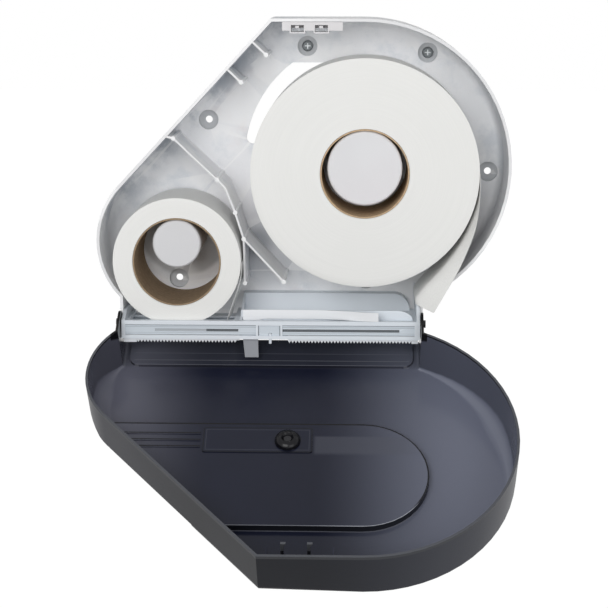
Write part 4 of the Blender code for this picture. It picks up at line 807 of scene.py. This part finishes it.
class BuildLatch(Operator):
    """Latch block under the top wall, its sprung slider and the return spring"""

    bl_idname = "dispenser.build_latch"
    bl_label = "Latch"

    def execute(self, context):
        sizes, colours = settings()
        white = moulded("latch_white", colours.latch, 0.42, 0.04, 0.04)
        refined("latch_bracket", "latch_block", "base", white, "tray_white", sizes.tray_edge)
        refined("latch_slider", "latch_bar", "latch", white, "tray_white", sizes.tray_edge)
        wire = plated("spring_wire", colours.steel, 0.2)
        low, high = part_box("latch_spring")
        piece = coil(low, high, 0.2 * MM)
        settle(piece, "return_spring", "base", wire, "spring_steel", "latch_spring")
        travel = joint_facts("latch_slide")["range_m"][1]
        keep = 1.0 - (travel + 0.2 * MM) / (high.x - low.x)
        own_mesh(piece)
        return {"FINISHED"}


class BuildCover(Operator):
    """Dark cover with its race-track panel, the blank badge, its clip and the hinge pins"""

    bl_idname = "dispenser.build_cover"
    bl_label = "Cover"

    def execute(self, context):
        sizes, colours = settings()
        edge = sizes.cover_edge
        marks = smoked(tuple(colours.smoke_left), tuple(colours.smoke_right))
        smoke = smoke_plastic("cover_smoke", colours.smoke, marks)
        refined("cover_shell", "cover", "cover", smoke, "smoke", edge, angle=40.0)
        black = smoke_plastic("clip_black", colours.clip)
        refined("badge_clip", "clip_dome", "cover", black, "clip_black", 0.5 * edge)
        badge = smoke_plastic("badge_grey", colours.badge)
        refined("cover_badge", "blank_badge", "cover", badge, "badge_grey", 0.5 * edge)
        pin = smoke_plastic("pin_black", colours.pin)
        for side in ("left", "right"):
            refined("hinge_pin_" + side, "pivot_" + side, "base", pin, "pin_black", 0.4 * edge)
        return {"FINISHED"}


def wound_ring(centre, inner, outer, back, front, edge, waver, rings, sides):
    """A thick ring from a cylinder: its ends inset in steps, bored and wavered like windings."""
    x, z = centre
    bpy.ops.object.select_all(action="DESELECT")
    bpy.ops.mesh.primitive_cylinder_add(
        vertices=sides, radius=outer, depth=front - back, location=(0, 0, 0)
    )
    piece = bpy.context.object
    edit(piece, "FACE")
    pick_faces(piece, lambda face: abs(face.normal.z) > 0.5)
    bpy.ops.mesh.inset(thickness=edge, use_individual=True)
    step = (outer - edge - inner) / rings
    for _ in range(rings):
        bpy.ops.mesh.inset(thickness=step, use_individual=True)
    bpy.ops.mesh.bridge_edge_loops()
    bpy.ops.mesh.select_all(action="SELECT")
    bpy.ops.mesh.normals_make_consistent(inside=False)
    done()
    half = (front - back) / 2
    for corner in piece.data.vertices:
        spot = corner.co
        radius = math.hypot(spot.x, spot.y)
        turn = math.atan2(spot.y, spot.x)
        if radius > outer - edge / 2:
            spot.z -= math.copysign(edge * 0.55, spot.z)
        elif radius > inner + edge:
            place = (radius / (9.0 * MM), math.cos(turn) * 0.4, math.sin(turn) * 0.4 + half)
            drift = noise.noise(Vector(place))
            spot.z -= math.copysign(waver * (0.5 + drift), spot.z)
    piece.rotation_euler = (math.radians(90.0), 0.0, 0.0)
    piece.location = (x, -(back + front) / 2, z)
    return piece


def roll_facts(node):
    """Where a node of a roll stands: its centre, outer radius, back and front."""
    low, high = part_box(node)
    centre = ((low.x + high.x) / 2, (low.z + high.z) / 2)
    return centre, (high.x - low.x) / 2, -high.y, -low.y


# Each roll: the prefix of its nodes, the sides of its rings and a factor on its core's kraft
# colour, as painted light on the large roll's core and painted shade on the stub's
ROLLS = (("jumbo", 192, 1.5), ("stub", 144, 0.88))
BOARD = 1.4 * MM
BOARD_EDGE = 0.25 * MM
PAPER_GAP = 0.3 * MM


class BuildRolls(Operator):
    """The large roll and the stub roll on their board cores"""

    bl_idname = "dispenser.build_rolls"
    bl_label = "Rolls"

    def execute(self, context):
        sizes, colours = settings()
        edge, waver = sizes.roll_edge, sizes.roll_waver
        for prefix, sides, light in ROLLS:
            body = prefix + "_roll"
            centre, core, back, front = roll_facts(prefix + "_core")
            board = kraft(prefix + "_kraft", tinted(colours.kraft, light), centre)
            tube = wound_ring(centre, core - BOARD, core, back, front, BOARD_EDGE, 0.0, 1, sides)
            settle(tube, prefix + "_tube", body, board, "core_kraft", prefix + "_core")
            centre, outer, back, front = roll_facts(prefix + "_paper")
            paper = tissue(prefix + "_tissue", colours.paper, centre)
            inner = core + PAPER_GAP
            roll = wound_ring(centre, inner, outer, back, front, edge, waver, 10, sides)
            settle(roll, prefix + "_windings", body, paper, "paper_white", prefix + "_paper")
        return {"FINISHED"}


def hung_sheet(columns, rows, spot, thickness):
    """A sheet from a grid: each corner goes where spot says for its shares across and down."""
    bpy.ops.object.select_all(action="DESELECT")
    bpy.ops.mesh.primitive_grid_add(
        x_subdivisions=columns, y_subdivisions=rows, size=2.0, location=(0, 0, 0)
    )
    piece = bpy.context.object
    for corner in piece.data.vertices:
        across, down = (corner.co.x + 1) / 2, (1 - corner.co.y) / 2
        corner.co = spot(across, down)
    apply_modifier(piece, "SUBSURF", levels=1, render_levels=1)
    apply_modifier(piece, "SOLIDIFY", thickness=thickness, offset=0.0)
    edit(piece)
    bpy.ops.mesh.normals_make_consistent(inside=False)
    done()
    return piece


def along(values, share):
    """A smooth value between evenly spaced stations."""
    last = len(values) - 1
    spot = share * last
    k = min(int(spot), last - 1)
    way = spot - k
    before, a, b, after = (values[min(max(i, 0), last)] for i in range(k - 1, k + 3))
    bend_a, bend_b = (b - before) / 2, (after - a) / 2
    return (
        a * (1 + 2 * way) * (1 - way) ** 2
        + bend_a * way * (1 - way) ** 2
        + b * way * way * (3 - 2 * way)
        + bend_b * way * way * (way - 1)
    )


# Stations of the two loose sheets from top to bottom, in mm
JUMBO_BACK_X = (116.7, 116.4, 113.0, 104.0, 92.0, 77.5, 62.5, 53.6, 53.2)
JUMBO_FRONT_X = (116.7, 116.6, 115.6, 112.4, 106.0, 97.5, 88.0, 79.0, 71.5)
JUMBO_BACK_Z = (-5.4, -22.0, -42.0, -67.0, -88.0, -107.0, -123.0, -135.0, -141.2)
JUMBO_FRONT_Z = (-5.4, -22.0, -42.0, -62.0, -81.0, -101.0, -119.0, -135.0, -148.5)
STUB_X = (-125.4, -125.6, -127.6, -132.0, -139.0, -141.5)
STUB_Z = (-97.0, -104.0, -118.0, -131.0, -151.0, -159.5)
STUB_FRONT = (93.5, 93.0, 90.5, 88.0, 83.5, 80.5)
STUB_BACK = (11.0, 12.0, 18.0, 24.0, 36.0, 40.0)
STUB_LEAN = 3.0

# The jumbo sheet's edges from the wall, and where it starts to flare and flares most
JUMBO_BACK, JUMBO_FRONT = 12.5, 93.5
FLARE_START, FLARE_KNEE = 79.5, 84.0


def jumbo_spot(across, down):
    out = JUMBO_BACK + (JUMBO_FRONT - JUMBO_BACK) * across
    flare = 0.2 * min(1.0, max(0.0, (out - FLARE_START) / (FLARE_KNEE - FLARE_START)))
    flare += 0.8 * max(0.0, (out - FLARE_KNEE) / (JUMBO_FRONT - FLARE_KNEE))
    x = along(JUMBO_BACK_X, down) * (1 - flare) + along(JUMBO_FRONT_X, down) * flare
    z = along(JUMBO_BACK_Z, down) * (1 - flare) + along(JUMBO_FRONT_Z, down) * flare
    return Vector((x, -out, z)) * MM


def stub_spot(across, down):
    back, front = along(STUB_BACK, down), along(STUB_FRONT, down)
    out = back + (front - back) * across
    lean = STUB_LEAN * (1 - across) * down
    return Vector((along(STUB_X, down) + lean, -out, along(STUB_Z, down))) * MM


class BuildTails(Operator):
    """The loose paper of both rolls, as single sheets"""

    bl_idname = "dispenser.build_tails"
    bl_label = "Paper tails"

    def execute(self, context):
        sizes, colours = settings()
        paper = web("loose_tissue", colours.paper)
        tail = hung_sheet(30, 48, jumbo_spot, sizes.sheet)
        settle(tail, "jumbo_loose_sheet", "base", paper, "paper_white", "jumbo_tail", angle=60.0)
        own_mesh(tail)
        tail = hung_sheet(20, 30, stub_spot, sizes.sheet)
        settle(tail, "stub_loose_sheet", "base", paper, "paper_white", "stub_tail", angle=60.0)
        return {"FINISHED"}


# Stage

FLOOR_GLOW = 1.04
ROOM_LIGHT = 0.30

# Each lamp: its name, place, aim, width and height in metres, and watts
LAMPS = (
    ("key", (-0.75, -2.55, 0.85), (0.0, -0.1, 0.0), 1.6, 1.6, 36.0),
    ("fill", (1.2, -2.3, 0.3), (0.0, -0.1, -0.1), 1.4, 1.4, 12.0),
)

# The photograph's camera: its place in metres, its tilt and turn in degrees, and its lens in mm
CAMERA_PLACE = (-0.0044, -1.8042, 0.1966)
CAMERA_TILT, CAMERA_TURN = 78.89, 1.91
CAMERA_LENS, CAMERA_SENSOR = 100.66, 36.0


def area_lamp(name, spot, aim, width, height, watts):
    bpy.ops.object.select_all(action="DESELECT")
    bpy.ops.object.light_add(type="AREA", location=spot)
    lamp = bpy.context.object
    lamp.name = name
    lamp.rotation_euler = (Vector(aim) - Vector(spot)).to_track_quat("-Z", "Y").to_euler()
    lamp.data.shape = "RECTANGLE"
    lamp.data.size = width
    lamp.data.size_y = height
    lamp.data.energy = watts


def floor_pale(colour):
    """Pale floor that takes light as paper does, but looks nearly white."""
    graph = Graph("floor_pale")
    grain = graph.noise(3.0, 2.0, 0.5)
    tone = graph.mix(grain.smooth(0.3, 0.7), tinted(colour, 0.99), colour)
    graph.finish(tone, 0.9)
    glow = graph.tree.nodes.new("ShaderNodeEmission")
    glow.inputs["Color"].default_value = (1.0, 1.0, 1.0, 1.0)
    glow.inputs["Strength"].default_value = FLOOR_GLOW
    rays = graph.tree.nodes.new("ShaderNodeLightPath")
    seen = [Signal(graph, rays.outputs[kind]) for kind in ("Is Camera Ray", "Is Glossy Ray")]
    graph.blend(graph.math("MAXIMUM", *seen) * 0.96, glow)
    return graph.material


def studio_world():
    """White surroundings that look full white, but light the room less."""
    world = bpy.data.worlds.new("studio")
    world.use_nodes = True
    tree = world.node_tree
    rays = tree.nodes.new("ShaderNodeLightPath")
    seen = rays.outputs["Is Camera Ray"]
    for kind in ("Is Transmission Ray", "Is Glossy Ray"):
        either = tree.nodes.new("ShaderNodeMath")
        either.operation = "MAXIMUM"
        tree.links.new(seen, either.inputs[0])
        tree.links.new(rays.outputs[kind], either.inputs[1])
        seen = either.outputs[0]
    level = tree.nodes.new("ShaderNodeMapRange")
    tree.links.new(seen, level.inputs["Value"])
    level.inputs["To Min"].default_value = ROOM_LIGHT
    level.inputs["To Max"].default_value = 1.0
    back = tree.nodes["Background"]
    back.inputs["Color"].default_value = (1.0, 1.0, 1.0, 1.0)
    tree.links.new(level.outputs[0], back.inputs["Strength"])
    return world


class BuildStage(Operator):
    """Pale floor, soft studio light and the camera at the photograph's angle"""

    bl_idname = "dispenser.build_stage"
    bl_label = "Stage"

    def execute(self, context):
        sizes, colours = settings()
        bpy.ops.object.select_all(action="DESELECT")
        bpy.ops.mesh.primitive_plane_add(size=16.0, location=(0.0, 2.0, -sizes.floor_drop))
        floor = context.object
        floor.name = "floor"
        floor.data.materials.append(floor_pale(colours.floor))
        context.scene.world = studio_world()
        for lamp in LAMPS:
            area_lamp(*lamp)
        bpy.ops.object.camera_add(
            location=CAMERA_PLACE,
            rotation=(math.radians(CAMERA_TILT), 0.0, math.radians(CAMERA_TURN)),
        )
        camera = context.object
        camera.name = "camera"
        camera.data.sensor_width = CAMERA_SENSOR
        camera.data.lens = CAMERA_LENS
        context.scene.camera = camera
        context.scene.view_settings.view_transform = "Standard"
        return {"FINISHED"}


class DispenserPanel(Panel):
    """Sizes, colours and the steps that build the dispenser"""

    bl_idname = "VIEW3D_PT_dispenser"
    bl_label = "Dispenser"
    bl_space_type = "VIEW_3D"
    bl_region_type = "UI"
    bl_category = "Dispenser"

    def draw(self, context):
        for step in STEPS:
            self.layout.operator(step.bl_idname)
        for group in (context.scene.dispenser_sizes, context.scene.dispenser_colours):
            box = self.layout.box()
            for key in group.__annotations__:
                box.prop(group, key)


STEPS = (BuildCasing, BuildTray, BuildLatch, BuildCover, BuildRolls, BuildTails, BuildStage)
CLASSES = (DispenserSizes, DispenserColours, *STEPS, DispenserPanel)


def register():
    for item in CLASSES:
        bpy.utils.register_class(item)
    bpy.types.Scene.dispenser_sizes = PointerProperty(type=DispenserSizes)
    bpy.types.Scene.dispenser_colours = PointerProperty(type=DispenserColours)


def unregister():
    del bpy.types.Scene.dispenser_colours
    del bpy.types.Scene.dispenser_sizes
    for item in reversed(CLASSES):
        bpy.utils.unregister_class(item)


def main():
    register()
    bpy.ops.dispenser.build_casing()
    bpy.ops.dispenser.build_tray()
    bpy.ops.dispenser.build_latch()
    bpy.ops.dispenser.build_cover()
    bpy.ops.dispenser.build_rolls()
    bpy.ops.dispenser.build_tails()
    bpy.ops.dispenser.build_stage()


if __name__ == "__main__":
    main()
